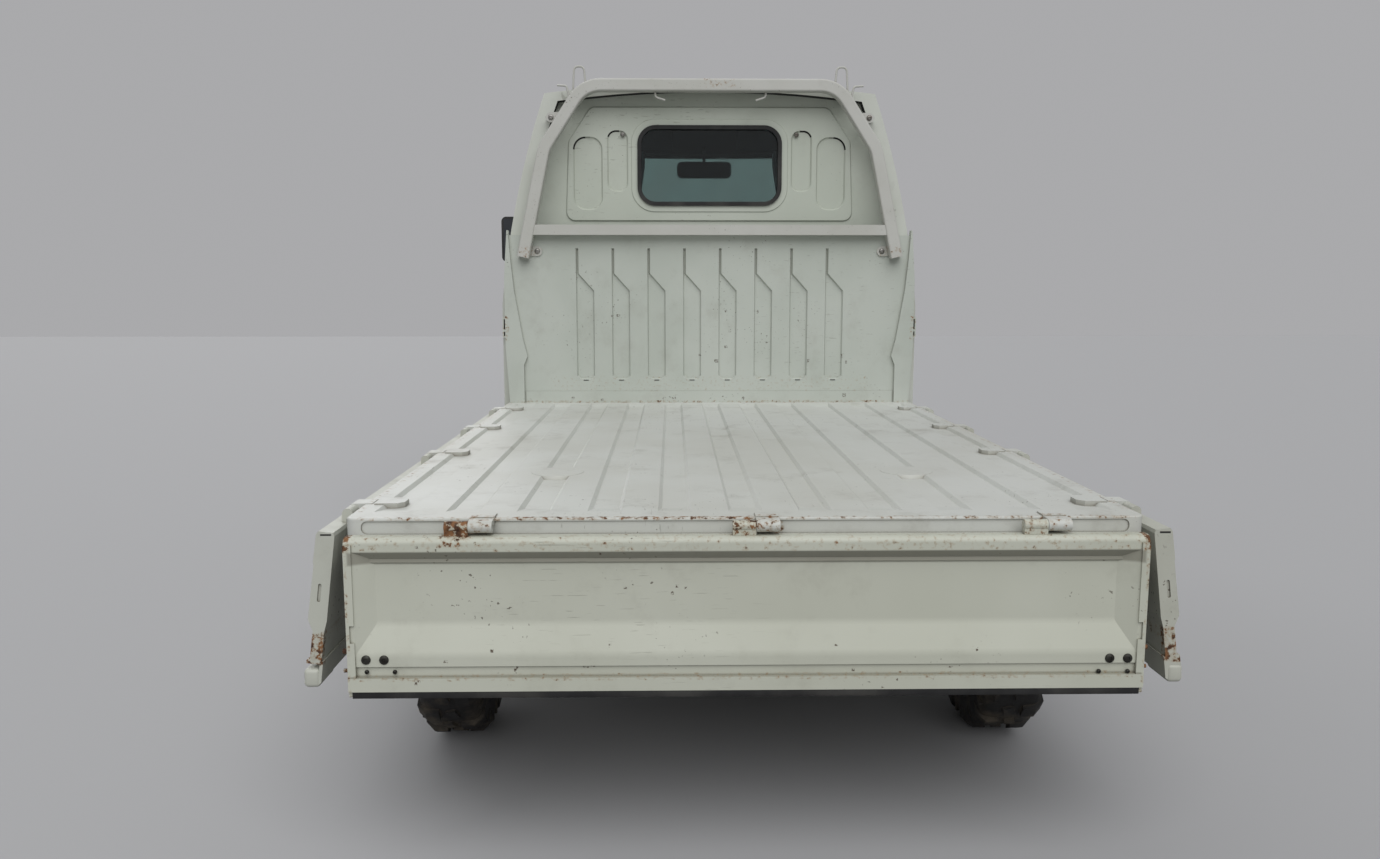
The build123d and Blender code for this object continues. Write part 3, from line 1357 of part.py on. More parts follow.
ARM_LOW = TYRE_R - 95
ARM_HIGH = TYRE_R + 95
ARM_SHEET = 16
KINGPIN_R = 21

for side, side_name in zip(SIDES, ("left", "right")):
    with BuildPart() as knuckle:
        kingpin = side * KINGPIN_X
        rod(
            (kingpin, FRONT_AXLE_Y, ARM_LOW + ARM_SHEET / 2 + 1),
            (kingpin, FRONT_AXLE_Y, ARM_HIGH - ARM_SHEET / 2 - 1),
            KINGPIN_R,
        )
        rod(
            (kingpin, FRONT_AXLE_Y, TYRE_R),
            (side * (TRACK_HALF + HUB_FACE - 1), FRONT_AXLE_Y, TYRE_R),
            62,
        )
        rod(
            (side * (TRACK_HALF + HUB_FACE - HUB_NOSE), FRONT_AXLE_Y, TYRE_R),
            (side * (TRACK_HALF + HUB_FACE + HUB_NOSE), FRONT_AXLE_Y, TYRE_R),
            HUB_BORE_R - 3,
        )
        block(
            (kingpin - side * 40, kingpin),
            (FRONT_AXLE_Y - 110, FRONT_AXLE_Y),
            (TYRE_R - 30, TYRE_R - 14),
        )
    finish(knuckle, f"knuckle_{side_name}")

with BuildPart() as suspension_arms:
    for side in SIDES:
        for arm_z, inner_x, half in ((ARM_LOW, 330, 120), (ARM_HIGH, 414, 60)):
            with BuildSketch(top_view(arm_z - ARM_SHEET / 2)):
                with BuildLine():
                    Polyline(
                        (side * inner_x, FRONT_AXLE_Y - half),
                        (side * inner_x, FRONT_AXLE_Y + half),
                        (side * (KINGPIN_X - 20), FRONT_AXLE_Y + 22),
                        (side * (KINGPIN_X + 12), FRONT_AXLE_Y + 10),
                        (side * (KINGPIN_X + 12), FRONT_AXLE_Y - 10),
                        (side * (KINGPIN_X - 20), FRONT_AXLE_Y - 22),
                        close=True,
                    )
                make_face()
            extrude(amount=ARM_SHEET)
        block(
            (side * 345, side * 375),
            (FRONT_AXLE_Y - 60, FRONT_AXLE_Y + 60),
            (ARM_LOW, RAIL_FRONT_TOP - 88),
        )
        rod((side * 480, FRONT_AXLE_Y, ARM_LOW), (side * 480, FRONT_AXLE_Y, 540), 34)
finish(suspension_arms, "suspension_arms")

# Spare wheel, flat between the rails, one solid of tyre and rim

SPARE_Y = -330
SPARE_Z = 520
SPARE_RINGS = (  # height from the middle plane, radius
    (-BEAD_HALF_WIDTH, RIM_FLANGE_R),
    (-70, TYRE_R - 58),
    (-60, TREAD_R),
    (60, TREAD_R),
    (70, TYRE_R - 58),
    (BEAD_HALF_WIDTH, RIM_FLANGE_R),
)

with BuildPart() as spare_wheel:
    for height, radius in SPARE_RINGS:
        with BuildSketch(top_view(SPARE_Z + height)):
            with Locations((0, SPARE_Y)):
                RegularPolygon(radius, TYRE_FLATS)
    loft(ruled=True)
    for low, high in ((-BEAD_HALF_WIDTH, 10), (20, BEAD_HALF_WIDTH)):
        with BuildSketch(top_view(SPARE_Z + low)):
            with Locations((0, SPARE_Y)):
                RegularPolygon(BEAD_R, TYRE_FLATS)
        extrude(amount=high - low, mode=Mode.SUBTRACT)
    with BuildSketch(top_view(SPARE_Z)):
        with Locations((0, SPARE_Y)):
            Circle(HUB_BORE_R)
    extrude(amount=40, mode=Mode.SUBTRACT)
finish(spare_wheel, "spare_wheel")

# Rear bar and lamps

LAMP_X = (470, 660)
LAMP_Z = (462, 552)

with BuildPart() as rear_bar:
    block((-690, 690), (-1618, -1601), (478, 536))
    block((-450, 450), (-1640, -1617), (470, 552))
finish(rear_bar, "rear_bar")

with BuildPart() as rear_lamps:
    for side in SIDES:
        block((side * LAMP_X[0], side * LAMP_X[1]), (-1646, -1618), LAMP_Z)
finish(rear_lamps, "rear_lamps")
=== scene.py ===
# %% [markdown]
# A small pickup truck with its three drop sides hanging open, dressed around its CAD model.
# The CAD model comes in first and is never moved: every piece made here sits on it, in metres,
# with the ground at z = 0, the front of the truck towards +y and its right side towards +x.

# %% Load the CAD model
import math

import bpy
from mathutils import Matrix, Vector


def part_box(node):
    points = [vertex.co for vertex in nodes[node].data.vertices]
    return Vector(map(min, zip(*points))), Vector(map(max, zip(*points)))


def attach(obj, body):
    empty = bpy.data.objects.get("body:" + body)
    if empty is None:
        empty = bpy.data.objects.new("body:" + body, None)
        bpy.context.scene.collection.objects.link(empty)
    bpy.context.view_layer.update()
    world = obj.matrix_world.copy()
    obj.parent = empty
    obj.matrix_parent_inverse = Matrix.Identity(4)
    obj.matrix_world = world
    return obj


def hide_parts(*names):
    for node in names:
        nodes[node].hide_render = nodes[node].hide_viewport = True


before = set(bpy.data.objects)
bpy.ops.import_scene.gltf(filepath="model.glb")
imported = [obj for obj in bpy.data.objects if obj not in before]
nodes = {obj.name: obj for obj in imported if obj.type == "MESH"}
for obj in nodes.values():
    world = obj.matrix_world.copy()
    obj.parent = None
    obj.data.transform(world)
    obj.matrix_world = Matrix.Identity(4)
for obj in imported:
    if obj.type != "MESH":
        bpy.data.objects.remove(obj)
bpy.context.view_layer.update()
bpy.ops.object.select_all(action="DESELECT")

# %% [markdown]
# The photograph was taken from behind the truck, at about chest height, looking slightly down.
# A camera could be placed by eye, but the corners of the bed give it exactly: its place, its
# tilt and its lens were worked out from eight corners whose real places are known.

# %% Camera
IMAGE_WIDTH = 1380
FOCAL_PIXELS = 1063.8
SENSOR = 36.0
CAMERA_PLACE = (-0.1346, -3.516, 1.063)
LOOK_DOWN, LOOK_RIGHT = 7.6, 0.97

turn = (math.radians(90 - LOOK_DOWN), 0.0, math.radians(-LOOK_RIGHT))
bpy.ops.object.camera_add(location=CAMERA_PLACE, rotation=turn)
camera = bpy.context.object
camera.name = "camera"
camera.data.sensor_width = SENSOR
camera.data.lens = FOCAL_PIXELS / IMAGE_WIDTH * SENSOR
camera.data.clip_start = 0.05
camera.data.clip_end = 60.0
bpy.context.scene.camera = camera
bpy.context.scene.view_settings.view_transform = "Standard"
print("lens", round(camera.data.lens, 2), "mm")

# %% [markdown]
# Every finish is built from a few kinds of node, so each kind gets a helper of one line's use.
# Colours are written as on a paint chart, 0 to 255, and turned into the linear numbers that a
# shader adds up. All patterns read Object coordinates: the CAD sits at the origin, so they are
# metres on the truck, and a pattern stays on its door when the door swings.


# %% Node helpers
MM = 0.001


def tone(red, green, blue):
    """A paint-chart colour as linear values."""
    return tuple((value / 255) ** 2.2 for value in (red, green, blue)) + (1.0,)


finishes = {}


def start(name, roughness=0.5, metallic=0.0):
    """A new finish under a name, with its node tree and its shader."""
    made = bpy.data.materials.new(name)
    made.use_nodes = True
    finishes[name] = made
    shader = made.node_tree.nodes["Principled BSDF"]
    shader.inputs["Roughness"].default_value = roughness
    shader.inputs["Metallic"].default_value = metallic
    return made.node_tree, shader


def feed(tree, socket, value):
    """Links a socket, or sets it to a plain value."""
    if isinstance(value, bpy.types.NodeSocket):
        tree.links.new(value, socket)
    else:
        socket.default_value = value


def calc(tree, operation, *values, clamp=False):
    """One sum on one, two or three values."""
    node = tree.nodes.new("ShaderNodeMath")
    node.operation = operation
    node.use_clamp = clamp
    for socket, value in zip(node.inputs, values):
        feed(tree, socket, value)
    return node.outputs[0]


def ramp(tree, value, low, high, to_low=0.0, to_high=1.0):
    """A soft step from to_low to to_high as the value goes from low to high."""
    node = tree.nodes.new("ShaderNodeMapRange")
    node.interpolation_type = "SMOOTHSTEP"
    for socket, number in zip(node.inputs, (value, low, high, to_low, to_high)):
        feed(tree, socket, number)
    return node.outputs[0]


def mixed(tree, share, first, second):
    """Two colours mixed by a share."""
    node = tree.nodes.new("ShaderNodeMix")
    node.data_type = "RGBA"
    feed(tree, node.inputs[0], share)
    feed(tree, node.inputs[6], first)
    feed(tree, node.inputs[7], second)
    return node.outputs[2]


def place_of(tree, output="Object"):
    """The point on the piece in metres, or its normal."""
    for node in tree.nodes:
        if node.type == "TEX_COORD":
            return node.outputs[output]
    return tree.nodes.new("ShaderNodeTexCoord").outputs[output]


def noise(tree, scale, detail=3.0, stretch=None, shift=0.0, rough=0.55):
    """A cloudy pattern, stretched where a finish was brushed, scraped or has run."""
    node = tree.nodes.new("ShaderNodeTexNoise")
    node.inputs["Scale"].default_value = scale
    node.inputs["Detail"].default_value = detail
    node.inputs["Roughness"].default_value = rough
    turn = tree.nodes.new("ShaderNodeMapping")
    turn.inputs["Location"].default_value = (shift, shift * 0.7, shift * 0.3)
    turn.inputs["Scale"].default_value = stretch or (1.0, 1.0, 1.0)
    feed(tree, turn.inputs["Vector"], place_of(tree))
    feed(tree, node.inputs["Vector"], turn.outputs[0])
    return node.outputs["Fac"]


def near_box(tree, box, feather):
    """1 inside a box, falling to 0 over the feather outside it, all in millimetres."""
    middle = [(a + b) / 2 * MM for a, b in zip(box[:3], box[3:])]
    half = [(b - a) / 2 * MM for a, b in zip(box[:3], box[3:])]
    value = place_of(tree)
    for operation, other in (("SUBTRACT", middle), ("ABSOLUTE", None), ("SUBTRACT", half)):
        node = tree.nodes.new("ShaderNodeVectorMath")
        node.operation = operation
        feed(tree, node.inputs[0], value)
        if other:
            node.inputs[1].default_value = other
        value = node.outputs[0]
    split = tree.nodes.new("ShaderNodeSeparateXYZ")
    feed(tree, split.inputs[0], value)
    far = calc(tree, "MAXIMUM", split.outputs[0], split.outputs[1])
    far = calc(tree, "MAXIMUM", far, split.outputs[2])
    return ramp(tree, far, 0.0, feather * MM, 1.0, 0.0)


def bump(tree, shader, height, strength, distance):
    """Raises the surface a little by a pattern."""
    node = tree.nodes.new("ShaderNodeBump")
    node.inputs["Strength"].default_value = strength
    node.inputs["Distance"].default_value = distance
    feed(tree, node.inputs["Height"], height)
    feed(tree, shader.inputs["Normal"], node.outputs[0])


def crevice(tree, distance, samples=6):
    """1 in tight corners and folds, where dust gathers and shade falls."""
    node = tree.nodes.new("ShaderNodeAmbientOcclusion")
    node.samples = samples
    node.only_local = True
    node.inputs["Distance"].default_value = distance
    return calc(tree, "SUBTRACT", 1.0, node.outputs["AO"])


# %% [markdown]
# The whole body wears one old white paint: slightly green, dulled, with dust and painted shade
# in its corners, painted shade in its seams, thin scratches, chips down to the primer and rust
# that creeps out from the hinges and the ends of the gates. Wear could be painted by hand on an
# image, but noise is sharper at any distance, and a list of boxes says where the rust sits on
# the real truck.


# %% Worn paint
CAB_MIDDLE = (0.0, 0.85, 1.1)
TRIM_BLACK = (28, 28, 29)


def worn_paint(
    name,
    base,
    shade,
    grime=0.3,
    dust=0.25,
    chips=0.63,
    rust=(),
    scrape=(3, 3, 40),
    trim=None,
    seam=0.75,
    stain_and_shade_bands=(),
    marks=(),
    gap_shade_lines=(),
):
    """White paint with dust and painted shade in its folds, painted shade in its seams, bands and gaps,
    scratches along one way, chips, and rust near boxes.
    """
    tree, shader = start(name, 0.42)
    colour = mixed(tree, ramp(tree, noise(tree, 2.3), 0.35, 0.65), tone(*base), tone(*shade))
    # dust and painted shade in folds and corners, and thin grime in clouds
    folds = ramp(tree, crevice(tree, 0.035), 0.12, 0.75, 0.0, dust * 2.2)
    clouds = ramp(tree, noise(tree, 8.5, 9.0, shift=2.0, rough=0.68), 0.5, 0.78, 0.0, grime)
    grime_and_fold_shade = calc(tree, "MAXIMUM", folds, clouds, clamp=True)
    colour = mixed(tree, grime_and_fold_shade, colour, tone(121, 115, 100))
    # painted shade: dark brown in tight seams and gaps, by how closed in they are
    seam_shade = ramp(tree, crevice(tree, 0.007, 4), 0.3, 0.85, 0.0, seam)
    colour = mixed(tree, seam_shade, colour, tone(84, 75, 62))
    # brown bands in boxes: dirt, and painted shade where a part lies in shadow
    for *box, feather, amount in stain_and_shade_bands:
        stain = calc(tree, "MULTIPLY", near_box(tree, box, feather), amount)
        colour = mixed(tree, stain, colour, tone(92, 84, 70))
    # scratches
    line = noise(tree, 9.0, 2.0, stretch=scrape, shift=5.0)
    where = ramp(tree, noise(tree, 1.7, 2.0, shift=9.0), 0.5, 0.62)
    scratch = calc(tree, "MULTIPLY", ramp(tree, line, 0.66, 0.7), where)
    colour = mixed(tree, calc(tree, "MULTIPLY", scratch, 0.35), colour, tone(120, 118, 108))
    # chips down to primer and rust
    spots = ramp(tree, noise(tree, 125.0, 2.0, shift=4.0), chips + 0.095, chips + 0.12)
    few = ramp(tree, noise(tree, 4.3, 2.0, shift=1.0), 0.53, 0.62)
    chip = calc(tree, "MULTIPLY", spots, few)
    colour = mixed(tree, calc(tree, "MULTIPLY", chip, 0.8), colour, tone(88, 80, 70))
    wear = calc(tree, "MAXIMUM", scratch, chip)
    # painted shade: near-black in thin gaps
    for box in gap_shade_lines:
        colour = mixed(tree, near_box(tree, box, 0.8), colour, tone(30, 28, 26))
    for box in marks:
        mark = near_box(tree, box, 2.2)
        mark = calc(tree, "MULTIPLY", mark, ramp(tree, noise(tree, 300.0, 2.0), 0.44, 0.56))
        colour = mixed(tree, mark, colour, tone(82, 68, 56))
        wear = calc(tree, "MAXIMUM", wear, mark)
    # rust, from noise that is pushed over its threshold near each box
    if rust:
        grain = noise(tree, 105.0, 5.0, shift=3.0, rough=0.66)
        total = None
        for *box, feather, force in rust:
            part = calc(tree, "MULTIPLY", near_box(tree, box, feather), force)
            total = part if total is None else calc(tree, "MAXIMUM", total, part)
        level = calc(tree, "ADD", grain, calc(tree, "MULTIPLY", total, 0.34))
        level = calc(tree, "MULTIPLY", level, ramp(tree, total, 0.0, 0.2))
        stain = ramp(tree, level, 0.63, 0.84, 0.0, 0.6)
        crust = ramp(tree, level, 0.77, 0.82)
        cloudy = ramp(tree, noise(tree, 85.0, 3.0), 0.35, 0.65)
        reds = mixed(tree, cloudy, tone(68, 46, 34), tone(136, 96, 64))
        colour = mixed(tree, stain, colour, tone(156, 130, 96))
        colour = mixed(tree, crust, colour, reds)
        wear = calc(tree, "MAXIMUM", wear, crust)
    if trim:
        # faces that look at the cab's middle are inside, and covered in trim
        away = tree.nodes.new("ShaderNodeVectorMath")
        away.operation = "SUBTRACT"
        feed(tree, away.inputs[0], place_of(tree))
        away.inputs[1].default_value = CAB_MIDDLE
        facing = tree.nodes.new("ShaderNodeVectorMath")
        facing.operation = "DOT_PRODUCT"
        feed(tree, facing.inputs[0], away.outputs[0])
        feed(tree, facing.inputs[1], place_of(tree, "Normal"))
        inside = ramp(tree, facing.outputs["Value"], -0.12, -0.1, 1.0, 0.0)
        colour = mixed(tree, inside, colour, tone(*trim))
        wear = calc(tree, "MAXIMUM", wear, inside)
    feed(tree, shader.inputs["Base Color"], colour)
    dull = ramp(tree, grime_and_fold_shade, 0.0, 0.6, 0.48, 0.68)
    rough = calc(tree, "MAXIMUM", dull, ramp(tree, wear, 0.0, 1.0, 0.0, 0.85))
    feed(tree, shader.inputs["Roughness"], rough)
    skin = calc(tree, "MULTIPLY", noise(tree, 240.0, 2.0), 0.06)
    height = calc(tree, "SUBTRACT", skin, calc(tree, "MULTIPLY", wear, 0.5))
    bump(tree, shader, height, 0.5, 0.0006)


# %% [markdown]
# Boxes in millimetres say where each piece is rusted, stained, marked or given painted shade, as
# read off the photograph: six numbers are the box's lower and upper corners, then come how far
# it fades out and how strong it is.


# %% Rust, dirt and painted shade on each painted piece
def both(*box):
    """A box on the right side and its mirror image on the left."""
    low_x, low_y, low_z, high_x, *rest = box
    return [box, (-high_x, low_y, low_z, -low_x, *rest)]


def spots(low_y, high_y, *rows):
    """Boxes on an upright face, from rows of left, bottom, width and height."""
    return [(x, low_y, z, x + width, high_y, z + height) for x, z, width, height in rows]


worn_paint(
    "bed_white_paint",
    (205, 207, 202),
    (196, 197, 190),
    grime=0.34, dust=0.34, chips=0.6,
    scrape=(26, 2.2, 4),
    rust=[
        (-420, -1660, 653, 0, -1640, 662, 4, 0.74),
        (-700, -1660, 652, 700, -1640, 662, 4, 0.52),
        (-500, -1700, 630, -460, -1640, 660, 12, 0.55),
        (0, -1700, 630, 60, -1640, 660, 12, 0.62),
        (520, -1700, 630, 580, -1640, 660, 12, 0.5),
        *both(705, -1600, 600, 720, 270, 662, 6, 0.42),
        (-700, 262, 650, 700, 285, 660, 5, 0.5),
        (-700, -1700, 575, 700, -1640, 590, 4, 0.4),
    ],
)
# The front wall's white is the floor's paint made darker: painted shade of the upright wall.
worn_paint(
    "bed_wall_paint",
    (190, 195, 187),
    (181, 187, 178),
    grime=0.2, dust=0.12, chips=0.575,
    seam=0.35,
    scrape=(3, 3, 22),
    marks=spots(
        260, 290,
        (-330, 959, 10, 8.5), (54, 977, 6, 6.5), (69, 906, 6, 8.5),
        (169, 972, 4, 10.5), (54, 850, 8, 6.5), (17, 799, 12, 8.5),
        (349, 798, 6, 10.5), (478, 675, 10, 10.5), (-493, 668, 8, 6.5),
        (-388, 661, 6, 6.5), (-134, 668, 12, 4.5), (117, 667, 6, 6.5),
        (-350, 961, 6, 4.5), (471, 814, 4, 13), (486, 795, 4, 8.5),
        (-38, 822, 6, 4.5),
    ),
    rust=[
        (-720, 260, 650, 720, 290, 660, 6, 0.55),
        (-560, 260, 700, 560, 290, 745, 15, 0.28),
        *both(715, 260, 880, 740, 300, 960, 10, 0.5),
    ],
)
worn_paint(
    "tailgate_paint",
    (200, 202, 189),
    (193, 195, 181),
    grime=0.2, dust=0.22, chips=0.6,
    scrape=(2, 3, 44),
    stain_and_shade_bands=[
        # dirt and painted shade in the undercut below the hinge bead
        (-700, -1700, 584, 700, -1660, 601, 6, 0.55),
        # painted shadow line at the seam above the white rail
        (-705, -1700, 377, 705, -1690, 378, 2, 0.45),
    ],
    marks=spots(
        -1700, -1660,
        (-416, 382, 2, 7), (-412, 390, 1.5, 4), (240, 345, 2, 10.5),
        (-591, 365, 2, 3), (-586, 370, 3, 1.5), (-540, 404, 5, 2),
        (-279, 394, 5, 1), (-293, 392, 7.5, 1), (-247, 430, 2, 3),
        (409, 420, 1.5, 4), (155, 430, 4, 1), (-457, 422, 3, 3),
        (-128, 535, 3, 3), (-136, 522, 2, 4), (-112, 532, 2, 2),
        (-220, 533, 4, 1.5), (-583, 612, 3, 2), (-263, 598, 2, 2),
        (634, 580, 5, 1), (358, 388, 8.5, 1), (187, 383, 3, 2),
        (265, 368, 1.5, 2),
    ),
    rust=[
        (-720, -1700, 605, -702, -1650, 634, 8, 0.95),
        (702, -1700, 605, 720, -1650, 634, 8, 0.9),
        *both(706, -1700, 340, 720, -1650, 630, 4, 0.5),
        (-700, -1700, 606, 700, -1660, 634, 6, 0.36),
        (-700, -1700, 372, 700, -1690, 379, 4, 0.42),
        (-540, -1720, 632, -492, -1650, 660, 8, 1.02),
        (-30, -1720, 632, 18, -1650, 660, 8, 0.72),
        (480, -1720, 632, 528, -1650, 660, 8, 0.6),
        (-540, -1720, 615, -495, -1650, 632, 10, 0.66),
        *both(712, -1690, 375, 725, -1660, 430, 2, 1.15),
    ],
)
# The gates' white is the body's paint made a little darker: painted shade of the hanging gates.
worn_paint(
    "gate_paint",
    (193, 195, 185),
    (184, 185, 174),
    grime=0.26, dust=0.22, chips=0.58,
    scrape=(3, 40, 3),
    gap_shade_lines=[
        # thin near-black lines at the gates' rear ends near the hinge line, painted shade in gaps
        (-764, -1660, 623.2, -745, -1630, 625.6),
        (749, -1660, 622.2, 768, -1630, 625),
    ],
    rust=[
        *both(760, -1655, 385, 800, -1635, 440, 12, 0.8),
        *both(750, -1700, 420, 800, 300, 440, 8, 0.42),
    ],
)
worn_paint(
    "cab_white_paint",
    (203, 206, 198),
    (195, 198, 188),
    grime=0.1, dust=0.16, chips=0.66,
    scrape=(3, 12, 3),
    trim=TRIM_BLACK,
)
worn_paint(
    "rear_wall_paint",
    (196, 201, 190),
    (188, 194, 182),
    grime=0.12, dust=0.24, chips=0.62,
    scrape=(3, 3, 20),
    trim=TRIM_BLACK,
)
# The guard's white is the body's paint made a little darker: painted shade of the guard.
worn_paint(
    "guard_white_paint",
    (194, 194, 189),
    (186, 186, 179),
    grime=0.18, dust=0.2, chips=0.6,
    scrape=(14, 3, 14),
    rust=[
        (-20, 200, 1745, 80, 300, 1790, 10, 0.48),
        *both(580, 200, 1140, 660, 300, 1200, 20, 0.42),
    ],
)
worn_paint(
    "floor_white",
    (168, 170, 165),
    (150, 150, 144),
    grime=0.5, dust=0.45, chips=0.6,
)
print("paints", len(bpy.data.materials))

# %% [markdown]
# The dark pieces underneath are brushed with black chassis paint, and a year of mud and stone
# chips has made it brown and grey. Rubber and grained plastic are nearly black too, but each has
# its own gloss, and that is what tells them apart, so each gets its own roughness and grain.


# %% Dark and bare materials
MUD = (112, 103, 90)


def plain_surface(
    name, base, other, roughness, grain, depth, metallic=0.0, rust=0.0, dust=0.0, dust_colour=MUD
):
    """A surface of two close colours with a fine grain, with dust on top and rust in spots."""
    tree, shader = start(name, roughness, metallic)
    cloudy = ramp(tree, noise(tree, grain / 14, 4.0), 0.38, 0.62)
    colour = mixed(tree, cloudy, tone(*base), tone(*other))
    if dust:
        cover = ramp(tree, noise(tree, 7.0, 5.0, shift=6.0), 0.42, 0.68, 0.0, dust)
        folds = ramp(tree, crevice(tree, 0.03), 0.1, 0.7, 0.0, dust)
        colour = mixed(tree, calc(tree, "MAXIMUM", cover, folds), colour, tone(*dust_colour))
    if rust:
        crust = ramp(tree, noise(tree, 21.0, 6.0, shift=8.0, rough=0.7), 0.66 - rust, 0.74 - rust)
        reds = mixed(tree, noise(tree, 80.0), tone(84, 46, 28), tone(134, 82, 50))
        colour = mixed(tree, crust, colour, reds)
        feed(tree, shader.inputs["Roughness"], ramp(tree, crust, 0.0, 1.0, roughness, 0.9))
    feed(tree, shader.inputs["Base Color"], colour)
    bump(tree, shader, noise(tree, grain, 3.0), 0.6, depth * MM)


# base, other shade, roughness, grain, depth in mm, metallic, rust, dust, dust's colour
DARK_SURFACES = {
    "chassis_black": ((44, 43, 42), (34, 33, 33), 0.6, 90, 1, 0, 0.02, 0.45),
    "axle_black": ((46, 44, 42), (36, 35, 34), 0.65, 80, 1, 0, 0.04, 0.55),
    "spring_steel": ((60, 54, 48), (44, 40, 37), 0.6, 110, 0.8, 0.3, 0.1, 0.4),
    "shaft_steel": ((76, 74, 72), (56, 54, 52), 0.5, 120, 0.5, 0.6, 0.05, 0.35),
    "engine_alloy": ((128, 128, 128), (104, 103, 101), 0.55, 160, 0.9, 0.7, 0, 0.4),
    "exhaust_steel": ((126, 116, 104), (96, 82, 70), 0.5, 130, 0.6, 0.7, 0.09, 0.2),
    "knuckle_iron": ((72, 70, 68), (54, 52, 50), 0.65, 150, 1.2, 0.4, 0.08, 0.4),
    "rim_silver": ((168, 169, 170), (150, 151, 152), 0.38, 260, 0.2, 0.55, 0.01, 0.45, (120, 112, 100)),
    "bare_bolt": ((148, 146, 142), (110, 106, 100), 0.42, 400, 0.2, 0.85, 0.03),
    "dark_screw": ((66, 66, 62), (44, 42, 38), 0.45, 400, 0.2, 0.6, 0.04),
    "black_rubber": ((32, 32, 33), (24, 24, 25), 0.72, 420, 0.3, 0, 0, 0.18, (120, 118, 112)),
    "bumper_plastic": ((50, 50, 52), (42, 42, 44), 0.66, 900, 0.3, 0, 0, 0.2, (122, 118, 110)),
    "grille_plastic": ((34, 34, 35), (27, 27, 28), 0.5, 700, 0.2, 0, 0, 0.15),
    "mirror_black": ((30, 30, 31), (24, 24, 25), 0.42, 800, 0.2, 0, 0, 0.08, (120, 118, 112)),
    "dash_plastic": ((70, 70, 73), (62, 62, 65), 0.68, 760, 0.4, 0, 0, 0.12, (130, 128, 122)),
    "steering_plastic": ((42, 42, 43), (34, 34, 35), 0.5, 700, 0.3),
    "plate_white": ((214, 215, 210), (206, 207, 202), 0.4, 300, 0.1, 0, 0, 0.15),
    "visor_vinyl": ((44, 44, 46), (36, 36, 38), 0.62, 500, 0.3),
}
for name, values in DARK_SURFACES.items():
    plain_surface(name, *values)
print("dark surfaces", len(bpy.data.materials))

# %% [markdown]
# A muddy tyre is dark rubber on the tips of its lugs, where the road wipes it, and grey-brown in
# the grooves and on the side walls, where dust stays. How far a point lies from the wheel's axle
# would tell tip from groove, but a tread block's own crevices do it for all five tyres at once.

# %% Tyre rubber
tree, shader = start("tyre_rubber", 0.82)
colour = mixed(tree, ramp(tree, noise(tree, 14.0, 4.0), 0.35, 0.65), tone(46, 45, 45), tone(36, 35, 35))
mud = ramp(tree, crevice(tree, 0.02, 8), 0.25, 0.85, 0.0, 0.75)
cloud = ramp(tree, noise(tree, 16.0, 5.0, shift=3.0), 0.45, 0.72, 0.0, 0.5)
colour = mixed(tree, calc(tree, "MAXIMUM", mud, cloud), colour, tone(118, 108, 93))
feed(tree, shader.inputs["Base Color"], colour)
bump(tree, shader, noise(tree, 320.0, 3.0), 0.6, 0.0006)

# %% [markdown]
# Window glass on a real truck is two hardened surfaces with a faint green tint between them.
# Each pane is a closed solid here, so plain transmission with the index of glass bends light in
# and out of it as the real one does. Its colour gives the tint, and dust lies on it unevenly.


# %% Glass and lamp lenses
def glass(name, tint, dust_amount, roughness=0.03):
    """Clear tinted glass with a little dust."""
    tree, shader = start(name, roughness)
    shader.inputs["Transmission Weight"].default_value = 1.0
    shader.inputs["IOR"].default_value = 1.45
    dusty = ramp(tree, noise(tree, 6.0, 5.0), 0.35, 0.8, 0.0, dust_amount)
    feed(tree, shader.inputs["Base Color"], mixed(tree, dusty, tone(*tint), tone(150, 152, 148)))
    rough = ramp(tree, dusty, 0.0, 0.5, roughness, roughness + 0.25)
    feed(tree, shader.inputs["Roughness"], rough)
    bump(tree, shader, noise(tree, 3.0, 1.0), 0.05, 0.0008)


glass("screen_glass", (196, 214, 208), 0.12)
glass("door_glass", (200, 216, 211), 0.1)
glass("rear_glass", (154, 176, 176), 0.22)
glass("lamp_clear", (238, 242, 244), 0.06)
glass("lamp_red", (176, 22, 22), 0.1, 0.12)
# The mirror is tinted dark grey: a painted dark reflection of the surroundings.
tree, shader = start("mirror_glass", 0.04, 1.0)
smear = ramp(tree, noise(tree, 9.0, 5.0), 0.4, 0.8)
feed(tree, shader.inputs["Base Color"], mixed(tree, smear, tone(88, 91, 95), tone(76, 79, 82)))
feed(tree, shader.inputs["Roughness"], ramp(tree, smear, 0.0, 1.0, 0.03, 0.14))


def two_tone(name, scale, first, second, roughness, metallic=0.0):
    """A plain finish whose colour drifts between two tones."""
    tree, shader = start(name, roughness, metallic)
    colour = mixed(tree, noise(tree, scale), tone(*first), tone(*second))
    feed(tree, shader.inputs["Base Color"], colour)


two_tone("lamp_reflector", 12, (224, 226, 228), (196, 198, 200), 0.12, 1.0)
two_tone("amber_plastic", 40, (226, 118, 28), (208, 102, 22), 0.25)
two_tone("dial_plate", 30, (24, 24, 25), (18, 18, 19), 0.45)
two_tone("needle_orange", 30, (214, 96, 40), (196, 84, 36), 0.4)
two_tone("tick_white", 30, (226, 226, 222), (206, 206, 200), 0.5)
print("finishes", len(finishes))

# %% [markdown]
# The seats wear a dark woven cloth. Two crossed waves give the threads, and a cloudy pattern
# breaks them up so that the weave doesn't look printed.

